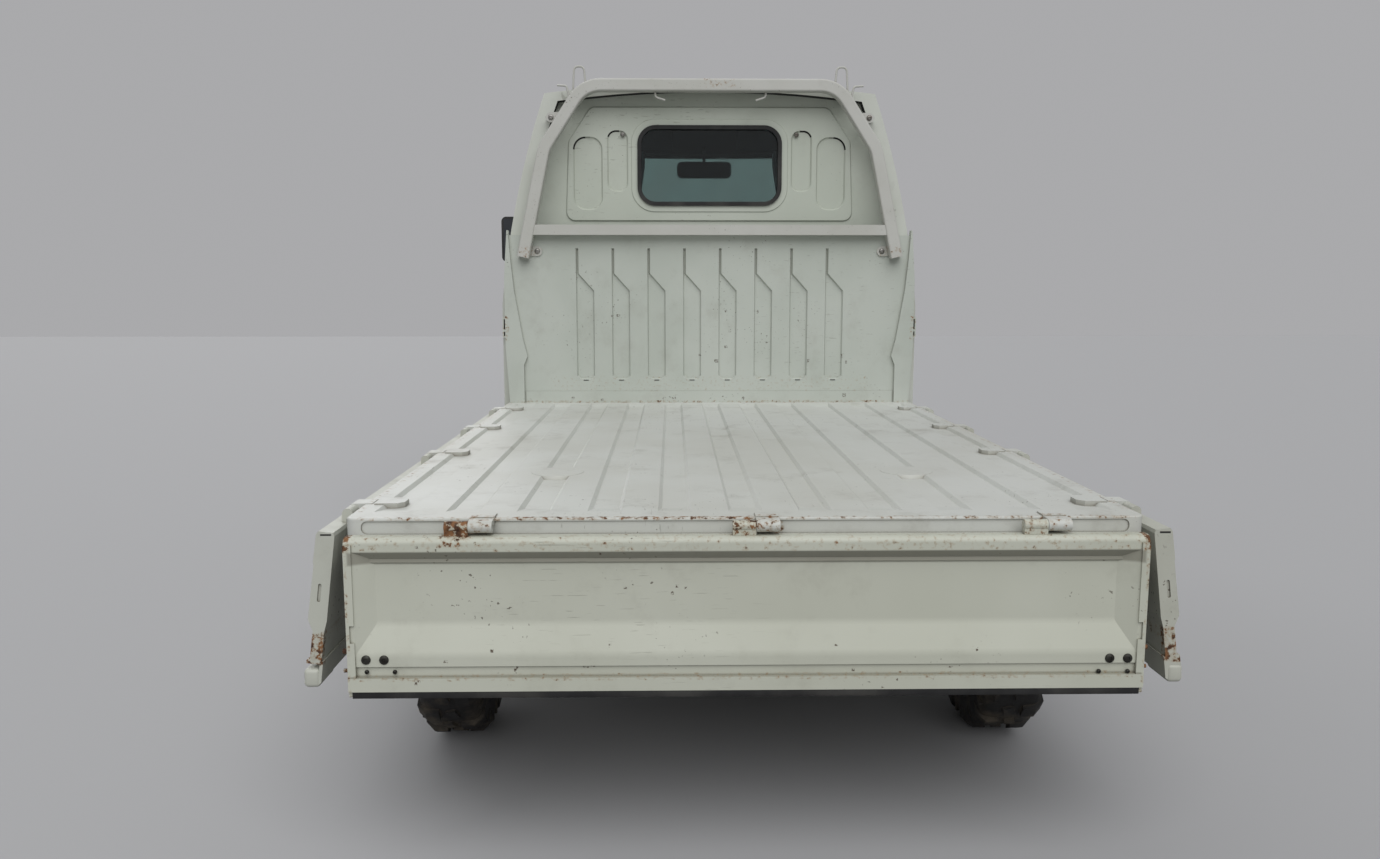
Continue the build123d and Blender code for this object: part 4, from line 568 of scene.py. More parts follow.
# %% Seat cloth
tree, shader = start("seat_cloth", 0.92)
shader.inputs["Sheen Weight"].default_value = 0.35
shader.inputs["Sheen Roughness"].default_value = 0.5
threads = []
for direction in ("X", "Z"):
    wave = tree.nodes.new("ShaderNodeTexWave")
    wave.bands_direction = direction
    wave.inputs["Scale"].default_value = 130.0
    wave.inputs["Distortion"].default_value = 1.2
    wave.inputs["Detail"].default_value = 1.0
    feed(tree, wave.inputs["Vector"], place_of(tree))
    threads.append(wave.outputs["Fac"])
weave = calc(tree, "MAXIMUM", *threads)
colour = mixed(tree, weave, tone(38, 39, 42), tone(64, 66, 70))
colour = mixed(tree, ramp(tree, noise(tree, 11.0, 5.0), 0.5, 0.75, 0.0, 0.35), colour, tone(92, 90, 84))
feed(tree, shader.inputs["Base Color"], colour)
bump(tree, shader, weave, 0.7, 0.0007)

# %% [markdown]
# The CAD names a finish for every node, so each node gets the material made under that name. A
# few of them look alike and share one.

# %% Finishes on the CAD nodes
ALIKE = {
    "tank_black": "chassis_black",
    "bar_black": "chassis_black",
    "arm_black": "chassis_black",
    "spare_rubber": "tyre_rubber",
    "column_plastic": "steering_plastic",
}
for node in nodes.values():
    slots = node.data.materials
    named = slots[0].name
    slots.clear()
    slots.append(finishes[ALIKE.get(named, named)])
print("dressed", len(nodes), "nodes")

# %% [markdown]
# Every new piece starts as a primitive and is shaped as by hand. These few helpers hold the
# moves that repeat: pick one piece, settle its place into its mesh, soften its edges, cut it
# with a plane, grow a round body ring by ring, copy it, and join what belongs together.


# %% Modelling helpers
def pick(*pieces):
    """Only these pieces are selected, and the first is active."""
    bpy.ops.object.select_all(action="DESELECT")
    for piece in pieces:
        piece.select_set(True)
    bpy.context.view_layer.objects.active = pieces[0]
    return pieces[0]


def settle(piece):
    """Moves the place, the turn and the size of a piece into its mesh, and applies its modifiers."""
    pick(piece)
    bpy.ops.object.transform_apply(location=True, rotation=True, scale=True)
    for modifier in list(piece.modifiers):
        bpy.ops.object.modifier_apply(modifier=modifier.name)
    return piece


def soften(piece, width, segments=2, angle=30):
    """Rounds the sharp edges, and shades the rest smooth."""
    modifier = piece.modifiers.new("soft_edges", "BEVEL")
    modifier.width = width
    modifier.segments = segments
    modifier.limit_method = "ANGLE"
    modifier.angle_limit = math.radians(angle)
    settle(piece)
    bpy.ops.object.shade_smooth_by_angle(angle=math.radians(38))
    return piece


def bar(name, low, high, width=0.002, segments=2):
    """A block between two corners, with soft edges."""
    middle = [(a + b) / 2 for a, b in zip(low, high)]
    bpy.ops.mesh.primitive_cube_add(size=1.0, location=middle)
    piece = bpy.context.object
    piece.name = name
    piece.scale = [b - a for a, b in zip(low, high)]
    settle(piece)
    return soften(piece, width, segments)


def sided(name, side, low, high, *soft):
    """A block on the side given by 1 or -1, from two corners written for the right side."""
    x = sorted((side * low[0], side * high[0]))
    return bar(name, (x[0], *low[1:]), (x[1], *high[1:]), *soft)


def edit(piece):
    """Opens a piece in edit mode with everything selected."""
    pick(piece)
    bpy.ops.object.mode_set(mode="EDIT")
    bpy.ops.mesh.select_all(action="SELECT")


def open_with(piece, kind):
    """Opens a piece in edit mode with its chosen points, edges or faces."""
    pick(piece)
    bpy.context.tool_settings.mesh_select_mode = [kind == each for each in ("VERT", "EDGE", "FACE")]
    bpy.ops.object.mode_set(mode="EDIT")


def done():
    """Back to object mode."""
    bpy.ops.object.mode_set(mode="OBJECT")


def rounded_plate(name, low, high, radius, segments):
    """A thin plate across the truck, with round corners."""
    plate = bar(name, low, high, 0.0001, 1)
    for line in plate.data.edges:
        a, b = (plate.data.vertices[i].co for i in line.vertices)
        line.select = abs(a.y - b.y) > 0.001
    open_with(plate, "EDGE")
    bpy.ops.mesh.bevel(offset=radius, segments=segments)
    done()
    return plate


def chop(piece, point, normal):
    """Cuts away what lies on the normal's side of a plane, and closes the cut."""
    edit(piece)
    bpy.ops.mesh.bisect(plane_co=point, plane_no=normal, use_fill=True, clear_outer=True)
    done()


def turned(name, rings, segments=48, angle=38):
    """A round body about the X axis, from rings of distance along it and radius, in millimetres."""
    rings = [(there * MM, wide * MM) for there, wide in rings]
    here, radius = rings[0]
    bpy.ops.mesh.primitive_circle_add(vertices=segments, radius=radius, location=(0, 0, here))
    piece = bpy.context.object
    piece.name = name
    settle(piece)
    edit(piece)
    for there, wide in rings[1:]:
        bpy.ops.mesh.extrude_region_move(TRANSFORM_OT_translate={"value": (0, 0, there - here)})
        share = wide / radius
        bpy.ops.transform.resize(value=(share, share, 1.0), center_override=(0, 0, there))
        here, radius = there, wide
    bpy.ops.mesh.select_all(action="SELECT")
    bpy.ops.mesh.remove_doubles(threshold=0.00002)
    bpy.ops.mesh.fill_holes(sides=0)
    bpy.ops.mesh.normals_make_consistent(inside=False)
    done()
    piece.data.transform(Matrix.Rotation(math.pi / 2, 4, "Y"))
    pick(piece)
    bpy.ops.object.shade_smooth_by_angle(angle=math.radians(angle))
    return piece


def placed(piece, place, angle=0.0, axis="Z"):
    """Turns a piece by degrees about the origin, and moves it to a place."""
    turn = Matrix.Rotation(math.radians(angle), 4, axis)
    piece.data.transform(Matrix.Translation(place) @ turn)
    return piece


def copied(piece, matrix, name="copy"):
    """A copy with its own mesh, moved and turned by a matrix."""
    copy = piece.copy()
    copy.name = name
    copy.data = piece.data.copy()
    bpy.context.collection.objects.link(copy)
    copy.data.transform(matrix)
    if matrix.determinant() < 0:
        copy.data.flip_normals()
    return copy


def joined(name, pieces):
    """Several pieces made one."""
    pick(*pieces)
    bpy.ops.object.join()
    pieces[0].name = name
    return pieces[0]


def fitted(piece, finish, body="chassis", slot=None):
    """Gives a finished piece its finish and its body. The slot is not used."""
    piece.data.materials.clear()
    piece.data.materials.append(finishes[finish])
    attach(piece, body)
    slot = slot or finish
    faces = sum(len(face.vertices) - 2 for face in piece.data.polygons)
    print(piece.name, "on", body, faces, "triangles")
    return piece


SIDES = (("left", -1), ("right", 1))

# %% [markdown]
# The tyres are chunky mud tyres. The tread is cut in blocks: long blocks that wrap over each
# shoulder, smaller ones that zigzag down the middle, and short bars on the side walls between
# them. A carcass is grown ring by ring, one block of each kind is shaped by cutting a cube with
# planes, and the blocks are then copied round at the same places as on the CAD tyre.

# %% One tyre about the origin, its axle along X
LUGS = 14
PITCH = 2 * math.pi / LUGS
TREAD = 261
HALF_SECTION = [
    (51.5, 152.4), (51.5, 167.5), (60, 173.5), (67.2, 186), (70.2, 196),
    (71.6, 197.5), (71.6, 201.5), (70.6, 203), (71.4, 212), (70.4, 226),
    (66.4, 241), (60, 252), (50, 258.2), (25, 260.6),
]
section = [(-d, r) for d, r in HALF_SECTION] + [(0.0, TREAD)] + HALF_SECTION[::-1]
carcass = turned("carcass", section + [section[0]], 84, 30)

shoulder = bar("shoulder", (0.021, -0.017, 0.222), (0.0722, 0.017, 0.27), 0.0002, 1)
chop(shoulder, (0.056, 0, 0.27), (17, 0, 12))
chop(shoulder, (0.068, 0, 0.253), (27, 0, 4))
chop(shoulder, (0.021, 0, 0.253), (-29, 0, -42))
chop(shoulder, (0.021, 0.017, 0.262), (-12, 22, 0))
soften(shoulder, 0.0022, 2, 25)
knob = bar("knob", (-0.013, -0.014, 0.252), (0.011, 0.014, 0.2676), 0.0002, 1)
chop(knob, (0.011, 0.014, 0.26), (10, 12, 0))
chop(knob, (-0.013, -0.014, 0.26), (-10, -8, 0))
soften(knob, 0.002, 2, 25)
placed(knob, (0.009, 0, 0), 17.18873)
rib = bar("rib", (0.064, -0.0045, 0.218), (0.073, 0.0045, 0.247), 0.0018, 2)

blocks = []
for side, phase in ((1, 0.0), (-1, 0.5)):
    for lug in range(LUGS):
        angle = math.pi + (lug + phase) * PITCH
        turn = Matrix.Rotation(angle, 4, "X")
        half = Matrix.Rotation(angle + PITCH / 2, 4, "X")
        flip = Matrix.Rotation(math.pi if side < 0 else 0.0, 4, "Z")
        blocks.append(copied(shoulder, turn @ flip))
        blocks.append(copied(knob, half @ flip))
        blocks.append(copied(rib, half @ flip))
for pattern in (shoulder, knob, rib):
    bpy.data.objects.remove(pattern)
tyre = joined("tyre", [carcass] + blocks)
print("tyre", len(tyre.data.polygons), "faces")

# %% [markdown]
# Each wheel is held by four nuts and closed by a pressed cap over its bearing. Nuts are bought
# hexagon bars: six sides, a chamfer on top and a washer face below, with the stud showing.

# %% Nuts, studs and bearing cap of one wheel
NUT_CIRCLE = 0.05
RIM_FACE = 42
AXLE_HEIGHT = 0.27
NUT_RINGS = [(0, 11.5), (2, 11.8), (12, 11.2), (14, 9.2), (14, 6.2)]
nut = turned("nut", [(RIM_FACE + along, wide) for along, wide in NUT_RINGS], 6, 20)
stud = turned("stud", [(RIM_FACE - 4, 5.8), (RIM_FACE + 19, 5.8), (RIM_FACE + 21, 4.6)], 16, 30)
one_nut = joined("one_nut", [nut, stud])
fixings = []
for corner in range(4):
    turn = Matrix.Rotation(math.radians(45 + 90 * corner), 4, "X")
    fixings.append(copied(one_nut, turn @ Matrix.Translation((0, 0, NUT_CIRCLE))))
bpy.data.objects.remove(one_nut)
CAP_RINGS = [(-4, 28.8), (10, 28.4), (15.5, 25.5), (18, 16), (18.6, 4)]
cap = turned("cap", [(RIM_FACE + along, wide) for along, wide in CAP_RINGS], 40, 30)
valve = turned("valve", [(30, 4.2), (47, 3.8), (49, 4.6), (56, 4.4), (57.5, 3)], 14, 30)
placed(valve, (0, 0.1, 0.094))
fixings = joined("fixings", fixings + [cap])

# %% Wheels at their four places
for wheel in ("front_left", "front_right", "rear_left", "rear_right"):
    low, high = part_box(f"tyre_{wheel}")
    middle = (low + high) / 2
    place = Matrix.Translation((middle.x, middle.y, AXLE_HEIGHT))
    if middle.x < 0:
        place = place @ Matrix.Rotation(math.pi, 4, "Z")
    body = f"wheel_{wheel}"
    piece = fitted(copied(tyre, place, f"mud_tyre_{wheel}"), "tyre_rubber", body)
    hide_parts(f"tyre_{wheel}")
    fitted(copied(fixings, place, f"wheel_fixings_{wheel}"), "bare_bolt", body, "rim_silver")
    fitted(copied(valve, place, f"valve_{wheel}"), "black_rubber", body, "tyre_rubber")

# %% [markdown]
# The spare hangs flat under the bed. It is the same tyre with its own rim, so the tyre is laid
# flat and a pressed rim is grown ring by ring inside it, instead of modelling a second wheel.

# %% Spare wheel
low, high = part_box("spare_wheel")
middle = (low + high) / 2
flat = Matrix.Translation(middle) @ Matrix.Rotation(-math.pi / 2, 4, "Y")
spare = fitted(copied(tyre, flat, "spare_tyre"), "tyre_rubber", slot="spare_rubber")
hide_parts("spare_wheel")
DISH = [
    (-58.5, 165), (-52.5, 165.5), (-52, 151.5), (-20, 149), (-10, 128), (10, 124),
    (28, 105), (36, 84), (30, 64), (30, 30), (25, 30), (25, 66),
    (30, 85), (22, 102), (6, 118), (52, 145), (58.5, 160), (58.5, 165.5),
    (52, 165.5), (48, 151), (-50, 147), (-58.5, 160), (-58.5, 165),
]
dish = turned("spare_rim", DISH, 72)
dish.data.transform(flat)
fitted(dish, "rim_silver", slot="spare_rubber")
for unused in (tyre, fixings, valve):
    bpy.data.objects.remove(unused)

# %% [markdown]
# Small hardware gives the bed its age. The round screw heads at the lower corners of the tail
# gate hold its end plates, and a black rubber strip lies under its white rail. A screw head is
# a shallow dome with a cross cut in it; at this size the dome and a recess are enough.


# %% Screws and bolts
def screw(x, y, z, radius, way=-1, height=3.5):
    """A domed screw head whose back lies at y and faces the rear or, with way 1, the front."""
    dome = [(0.0, 1.0), (0.45, 0.98), (0.8, 0.78), (1.0, 0.42), (0.55, 0.34)]
    rings = [(-4, radius * 0.6)] + [(height * up, radius * wide) for up, wide in dome]
    return placed(turned("head", rings, 20, 28), (x, y, z), 90 * way)


TAIL_FACE = -1.693
heads = []
for x, z, radius in (
    (-0.6777, 0.4092, 8.5),
    (-0.6459, 0.409, 8.5),
    (0.6485, 0.4048, 8.5),
    (0.6809, 0.4046, 8.5),
    (-0.6768, 0.387, 4.0),
    (-0.6273, 0.3867, 4.0),
    (0.6299, 0.3807, 4.0),
    (0.6822, 0.3803, 4.0),
):
    heads.append(screw(x, TAIL_FACE, z, radius))
fitted(joined("tail_screws", heads), "dark_screw", "tailgate", "tailgate_paint")
strip = bar("tail_strip", (-0.7035, -1.6965, 0.3385), (0.7035, -1.686, 0.3512), 0.0012)
fitted(strip, "black_rubber", "tailgate", "tailgate_paint")

heads = []
for name, side in SIDES:
    heads.append(screw(side * 0.3065, 0.3395, 1.5975, 8.5, height=5))
    heads.append(screw(side * 0.55, 0.266, 1.645, 9.5, height=6))
    heads.append(screw(side * 0.606, 0.274, 1.19, 9.5, height=6))
fitted(joined("guard_bolts", heads), "bare_bolt", slot="guard_white_paint")

# %% [markdown]
# The lower rail of each side gate is a folded channel, and its open rear end is closed by a short
# rounded box. It is a block with well rounded edges, a little prouder than the lip it closes, so
# that the thin shadow round it shows as on the real gate.

# %% Rail ends of the side gates
for name, side in SIDES:
    end = sided(f"gate_rail_end_{name}", side, (0.777, -1.647, 0.34), (0.806, -1.56, 0.375), 0.0075, 4)
    fitted(end, "gate_paint", f"side_gate_{name}")

# %% [markdown]
# On the posts of the front wall sit the keepers of the gates' latches: open steel boxes with a
# black plastic guide inside. Black dashes at the feet of the ribs are painted shade in the grooves'
# ends.

# %% Latch guides and painted shade dashes at the ribs' feet
pieces = []
for name, side in SIDES:
    pieces.append(sided("guide", side, (0.7165, 0.278, 0.917), (0.7285, 0.2875, 0.951), 0.001))
    pieces.append(sided("guide", side, (0.7165, 0.278, 0.894), (0.7285, 0.2875, 0.907), 0.001))
fitted(joined("latch_guides", pieces), "mirror_black", slot="bed_wall_paint")
# black dashes at the feet of the ribs: painted shade in the lower ends of the grooves
pieces = []
for column in range(8):
    x = (column - 3.5) * 0.126
    pieces.append(bar("slot", (x - 0.009, 0.279, 0.7335), (x + 0.009, 0.283, 0.7365), 0.0006))
fitted(joined("rib_foot_shade_dashes", pieces), "black_rubber", slot="bed_wall_paint")

# %% [markdown]
# The doors have a key cylinder behind each handle, and the mirrors a glass that faces back. The
# glass is a thin plate with rounded corners, let a little into the black head.

# %% Door and mirror details
for name, side in SIDES:
    lock = turned("lock", [(-4, 10), (1.2, 10), (2.4, 8.8), (1.8, 6), (2.6, 4.5)], 28, 28)
    placed(lock, (side * 0.7375, 0.585, 0.945), 0 if side > 0 else 180)
    lock.name = f"key_cylinder_{name}"
    fitted(lock, "bare_bolt", f"door_{name}", "cab_white_paint")
    low_x, high_x = sorted((side * 0.758, side * 0.876))
    low, high = (low_x, 1.268, 1.186), (high_x, 1.2715, 1.363)
    plate = rounded_plate(f"mirror_glass_{name}", low, high, 0.018, 6)
    fitted(plate, "mirror_glass", f"door_{name}", "mirror_black")

# %% [markdown]
# The two seats are foam under a dark woven cover, with a head rest in one piece with the back.
# A cover under tension is hard to model by hand, because it crowns between its seams and pulls
# in at its corners. So each pad starts as a slightly small block, gets an even mesh, and is then
# blown up by a short cloth simulation. The sewn seams are pressed in after that.


# %% Padding helpers
LONGEST_MOVE = 0.024
SEAM_WIDTH = 0.009


def choose(piece, test):
    """Opens a piece in edit mode with the points that pass a test on their place."""
    for point in piece.data.vertices:
        point.select = test(point.co)
    open_with(piece, "VERT")


def ring_cut(piece, point, normal):
    """Adds a ring of edges where a plane meets the piece."""
    edit(piece)
    bpy.ops.mesh.bisect(plane_co=point, plane_no=normal)
    done()


def blown_up(piece, low, high):
    """Fills a closed form like a cushion, and keeps it between two corners."""
    modifier = piece.modifiers.new("even_mesh", "REMESH")
    modifier.mode = "VOXEL"
    modifier.voxel_size = 0.006
    settle(piece)
    flat = [point.co.copy() for point in piece.data.vertices]
    cover = piece.modifiers.new("cover", "CLOTH")
    cover.settings.use_pressure = True
    cover.settings.uniform_pressure_force = 4.0
    cover.settings.effector_weights.gravity = 0.0
    for frame_number in range(1, 21):
        bpy.context.scene.frame_set(frame_number)
    settle(piece)
    bpy.context.scene.frame_set(1)
    for point, before in zip(piece.data.vertices, flat):
        move = point.co - before
        if move.length > LONGEST_MOVE:
            point.co = before + move * (LONGEST_MOVE / move.length)
    for point in piece.data.vertices:
        for axis in range(3):
            point.co[axis] = min(max(point.co[axis], low[axis]), high[axis])


def press_seam(piece, axis, at, depth, inward, where):
    """Presses a sewn seam across an axis, where a test on the place allows it."""
    for point in piece.data.vertices:
        if where(point.co):
            share = math.exp(-(((point.co[axis] - at) / SEAM_WIDTH) ** 2))
            point.co += Vector(inward) * (depth * share)


def upholstered(piece):
    modifier = piece.modifiers.new("smooth", "SUBSURF")
    modifier.levels = modifier.render_levels = 1
    settle(piece)
    pick(piece)
    bpy.ops.object.shade_smooth()


# %% Cushion
ACROSS, ALONG, UP = 0, 1, 2
SEAT_X = 0.352
SIDE_SEAMS = (SEAT_X - 0.125, SEAT_X + 0.125)
low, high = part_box("seat_right")


def on_top(place):
    """Whether a point is on the cushion's upper side."""
    return place.z > 0.765


def between(place):
    """Whether a point lies between the two side seams."""
    return abs(place.x - SEAT_X) < 0.122


corners = (low.x + 0.016, 0.488, 0.722), (high.x - 0.016, 0.848, 0.79)
cushion = bar("seat_cushion_right", *corners, 0.02, 4)
blown_up(cushion, (low.x + 0.001, 0.487, 0.7205), (high.x - 0.001, 0.8615, 0.812))
for x in SIDE_SEAMS:
    press_seam(cushion, ACROSS, x, 0.008, (0, 0, -1), on_top)
for y in (0.6, 0.71):
    press_seam(cushion, ALONG, y, 0.006, (0, 0, -1), lambda place: on_top(place) and between(place))
upholstered(cushion)
print("cushion", len(cushion.data.polygons), "faces")


# %% Back and head rest
def in_front(place):
    """Whether a point is on the front of the back."""
    return place.y > 0.445


corners = (low.x + 0.016, 0.388, 0.76), (high.x - 0.016, 0.47, 1.562)
back = bar("seat_back_right", *corners, 0.0002, 1)
for height in (1.18, 1.33):
    ring_cut(back, (0, 0, height), (0, 0, 1))
choose(back, lambda place: place.z > 1.25)
bpy.ops.transform.resize(value=(0.575, 0.9, 1.0), center_override=(SEAT_X, 0.429, 0.0))
done()
soften(back, 0.03, 4, 12)
blown_up(back, (low.x + 0.001, 0.3765, 0.74), (high.x - 0.001, 0.485, 1.575))
for x in SIDE_SEAMS:
    press_seam(back, ACROSS, x, 0.009, (0, -1, 0), lambda place: in_front(place) and place.z < 1.235)
for z in (0.93, 1.06):
    press_seam(back, UP, z, 0.007, (0, -1, 0), lambda place: in_front(place) and between(place))
press_seam(back, UP, 1.23, 0.007, (0, -1, 0), in_front)
upholstered(back)
print("back", len(back.data.polygons), "faces")

# %% The second seat, and both on the cab
other_side = Matrix.Scale(-1, 4, (1, 0, 0))
for pad, replaced in ((cushion, True), (back, False)):
    twin = copied(pad, other_side, pad.name.replace("right", "left"))
    for piece, side in ((pad, "right"), (twin, "left")):
        fitted(piece, "seat_cloth")
        if replaced:
            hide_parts(f"seat_{side}")

# %% [markdown]
# Under each cushion runs a pair of steel rails, and a lap belt's buckle stands beside it. Rods
# that bend, such as levers and wiper arms, are curves with a round section: a curve bends
# smoothly through a few points, which a row of cylinders doesn't.


# %% Bent rods
def rod(name, points, radius, smooth=3, closed=False):
    """A round rod bent smoothly through points."""
    bpy.ops.curve.primitive_bezier_curve_add(location=(0, 0, 0))
    piece = bpy.context.object
    piece.name = name
    spline = piece.data.splines[0]
    spline.bezier_points.add(len(points) - 2)
    for point, place in zip(spline.bezier_points, points):
        point.co = place
        point.handle_left_type = point.handle_right_type = "AUTO"
    spline.use_cyclic_u = closed
    piece.data.dimensions = "3D"
    piece.data.bevel_depth = radius
    piece.data.bevel_resolution = smooth
    piece.data.resolution_u = 5
    piece.data.use_fill_caps = True
    pick(piece)
    bpy.ops.object.convert(target="MESH")
    return bpy.context.object


def upright(name, rings, place, segments=40, angle=30):
    """A round body about the upright axis at a place."""
    return placed(turned(name, rings, segments, angle), place, -90, "Y")


def facing(name, rings, place, way=1, tilt=0.0):
    """A round body that faces the front (way 1) or the rear (way -1), tilted up by an angle."""
    piece = turned(name, rings, 36, 30)
    turn = Matrix.Rotation(tilt, 4, "X") @ Matrix.Rotation(math.pi / 2 * way, 4, "Z")
    piece.data.transform(Matrix.Translation(place) @ turn)
    return piece


# %% Seat rails and buckles
BOX_TOP = 0.7202
pieces = []
for name, side in SIDES:
    for offset in (-0.165, 0.165):
        x = side * SEAT_X + offset
        low, high = (x - 0.016, 0.48, BOX_TOP), (x + 0.016, 0.866, BOX_TOP + 0.003)
        pieces.append(bar("rail", low, high, 0.0008))
    x = side * 0.108
    pieces.append(rod("belt_stalk", [(x, 0.52, 0.715), (x, 0.535, 0.765), (x, 0.548, 0.8)], 0.0055))
    pieces.append(bar("buckle", (x - 0.013, 0.532, 0.795), (x + 0.013, 0.562, 0.865), 0.004, 3))
fitted(joined("seat_rails_and_buckles", pieces), "mirror_black")

# %% [markdown]
# The gear lever grows out of a rubber boot on the floor between the seats, and the hand brake
# lies on the box beside it. The pedals hang from the dashboard: a bent steel arm each, with a
# ribbed rubber pad.

# %% Gear lever, hand brake and pedals
FLOOR = 0.44
boot = upright(
    "gear_boot",
    [(0, 78), (6, 78), (12, 66), (20, 69), (28, 56), (37, 59)]
    + [(46, 44), (55, 47), (66, 30), (78, 32), (94, 16), (104, 14)],
    (0.0, 1.0, FLOOR),
)
fitted(boot, "black_rubber")
line = [(0, 1.0, FLOOR + 0.09), (0, 0.992, 0.62), (0, 0.955, 0.76), (0, 0.94, 0.812)]
lever = rod("gear_lever", line, 0.0065)
fitted(lever, "bare_bolt", slot="rim_silver")
knob = upright(
    "gear_knob",
    [(0, 10), (4, 16), (14, 22), (28, 25.5), (42, 23.5), (52, 16.5), (56.5, 8)],
    (0.0, 0.939, 0.8),
)
fitted(knob, "mirror_black")
BRAKE_X = 0.045
pieces = []
for line, radius, smooth in (
    (((0.742, 0.784), (0.8, 0.806), (0.862, 0.828)), 0.015, 4),
    (((0.86, 0.8275), (0.868, 0.8305), (0.876, 0.8335)), 0.006, 3),
    (((0.59, 0.735), (0.665, 0.757), (0.745, 0.786)), 0.008, 3),
):
    pieces.append(rod("brake", [(BRAKE_X, y, z) for y, z in line], radius, smooth))
pieces.append(bar("base", (0.022, 0.56, BOX_TOP), (0.068, 0.69, 0.748), 0.006, 3))
fitted(joined("hand_brake", pieces), "mirror_black")
pieces = []
for x, width in ((0.25, 0.05), (0.35, 0.05), (0.445, 0.036)):
    low_x, high_x = x - width / 2, x + width / 2
    line = [(x, 1.4, 0.78), (x, 1.385, 0.68), (x, 1.35, 0.59), (x, 1.325, 0.57)]
    pieces.append(rod("arm", line, 0.0065))
    pieces.append(bar("pad", (low_x, 1.302, 0.535), (high_x, 1.318, 0.6), 0.005, 3))
    for row in range(4):
        z = 0.545 + row * 0.015
        low, high = (low_x + 0.004, 1.299, z), (high_x - 0.004, 1.3035, z + 0.005)
        pieces.append(bar("rib", low, high, 0.0012))
fitted(joined("pedals", pieces), "mirror_black", slot="black_rubber")

# %% [markdown]
# The dashboard is one grained moulding, and its parts are set into it: a hood over two round
# dials behind the wheel, four air vents, a plain heater panel with three knobs, and the lid of
# the glove box. Each starts as a block that is inset and pushed in where the real one is hollow.


# %% Hollowed blocks
def hollowed(piece, toward, rim, depth, push=None):
    """Insets the face that looks toward a direction, and pushes it in."""
    aim = Vector(toward)
    way_in = Vector(push) if push else -aim
    best = max(face.area for face in piece.data.polygons if face.normal.dot(aim) > 0.8)
    for face in piece.data.polygons:
        face.select = face.normal.dot(aim) > 0.8 and face.area > best * 0.9
    open_with(piece, "FACE")
    bpy.ops.mesh.inset(thickness=rim)
    bpy.ops.mesh.extrude_region_move(TRANSFORM_OT_translate={"value": tuple(depth * way_in)})
    done()
    return piece


# %% Dials under their hood
hood = bar("hood", (0.205, 1.118, 0.992), (0.465, 1.27, 1.072), 0.0001, 1)
chop(hood, (0.335, 1.19, 1.07), (0, 0.24, 0.97))
chop(hood, (0.335, 1.118, 1.02), (0, -0.94, -0.34))
soften(hood, 0.01, 4, 20)
hollowed(hood, (0, -0.94, -0.34), 0.01, 0.03)
fitted(hood, "dash_plastic")
rings, marks, needles = [], [], []
LEAN = math.radians(-20)
for x in (0.285, 0.385):
    place = Vector((x, 1.149, 1.022))
    profile = [(0, 27), (3, 27), (4.5, 26), (4.5, 24), (1.5, 23.5)]
    rings.append(facing("ring", profile, place, -1, -LEAN))
    turn = Matrix.Translation(place) @ Matrix.Rotation(-LEAN, 4, "X")
    for tick in range(9):
        mark = bar("tick", (-0.0007, -0.0028, 0.0175), (0.0007, -0.0018, 0.022), 0.0002, 1)
        marks.append(placed(mark, (0, 0, 0), -120 + 30 * tick, "Y"))
        mark.data.transform(turn)
    needle = bar("needle", (-0.0008, -0.004, -0.004), (0.0008, -0.0028, 0.02), 0.0003, 1)
    needles.append(placed(needle, (0, 0, 0), -118, "Y"))
    needle.data.transform(turn)
fitted(joined("dial_rings", rings), "dial_plate", slot="mirror_black")
fitted(joined("dial_ticks", marks), "tick_white")
fitted(joined("dial_needles", needles), "needle_orange")

# %% Vents, heater panel and glove box
frames, slats = [], []
for x in (-0.585, -0.215, 0.215, 0.585):
    vent = bar("vent", (x - 0.056, 1.138, 0.905), (x + 0.056, 1.168, 0.965), 0.004, 3)
    frames.append(hollowed(vent, (0, -1, 0), 0.004, 0.016))
    for row in range(4):
        slat = bar("slat", (-0.05, -0.006, -0.001), (0.05, 0.006, 0.001), 0.0006, 1)
        slats.append(placed(slat, (x, 1.1475, 0.9165 + row * 0.0123), -24, "X"))
panel = bar("heater_panel", (-0.13, 1.14, 0.88), (0.13, 1.166, 0.962), 0.005, 3)
frames.append(hollowed(panel, (0, -1, 0), 0.005, 0.003))
fitted(joined("vents_and_panel", frames + slats), "grille_plastic", slot="mirror_black")
knobs = []
for x in (-0.08, 0.0, 0.08):
    rings = [(-4, 20), (4, 20), (6, 16.5), (20, 15), (22, 13.5), (22, 6)]
    knobs.append(facing("knob", rings, (x, 1.1432, 0.921), -1))
    knobs.append(bar("grip", (x - 0.0025, 1.118, 0.908), (x + 0.0025, 1.124, 0.934), 0.001))
fitted(joined("heater_knobs", knobs), "steering_plastic", slot="mirror_black")
lid = bar("glove_lid", (-0.62, -0.0085, -0.0425), (-0.17, 0.001, 0.0425), 0.003, 3)
placed(lid, (0, 1.16, 0.8425), 11.3, "X")
catch = bar("catch", (-0.425, 1.142, 0.862), (-0.365, 1.156, 0.876), 0.003, 3)
fitted(joined("glove_box", [lid, catch]), "dash_plastic")

# %% [markdown]
# Behind each clear lens a headlamp has a bright box with a round reflector and a bulb, and an
# amber lamp beside it for turning. Without them a lens looks like a hole with glass over it. One
# side is built, and its mirror image makes the other.

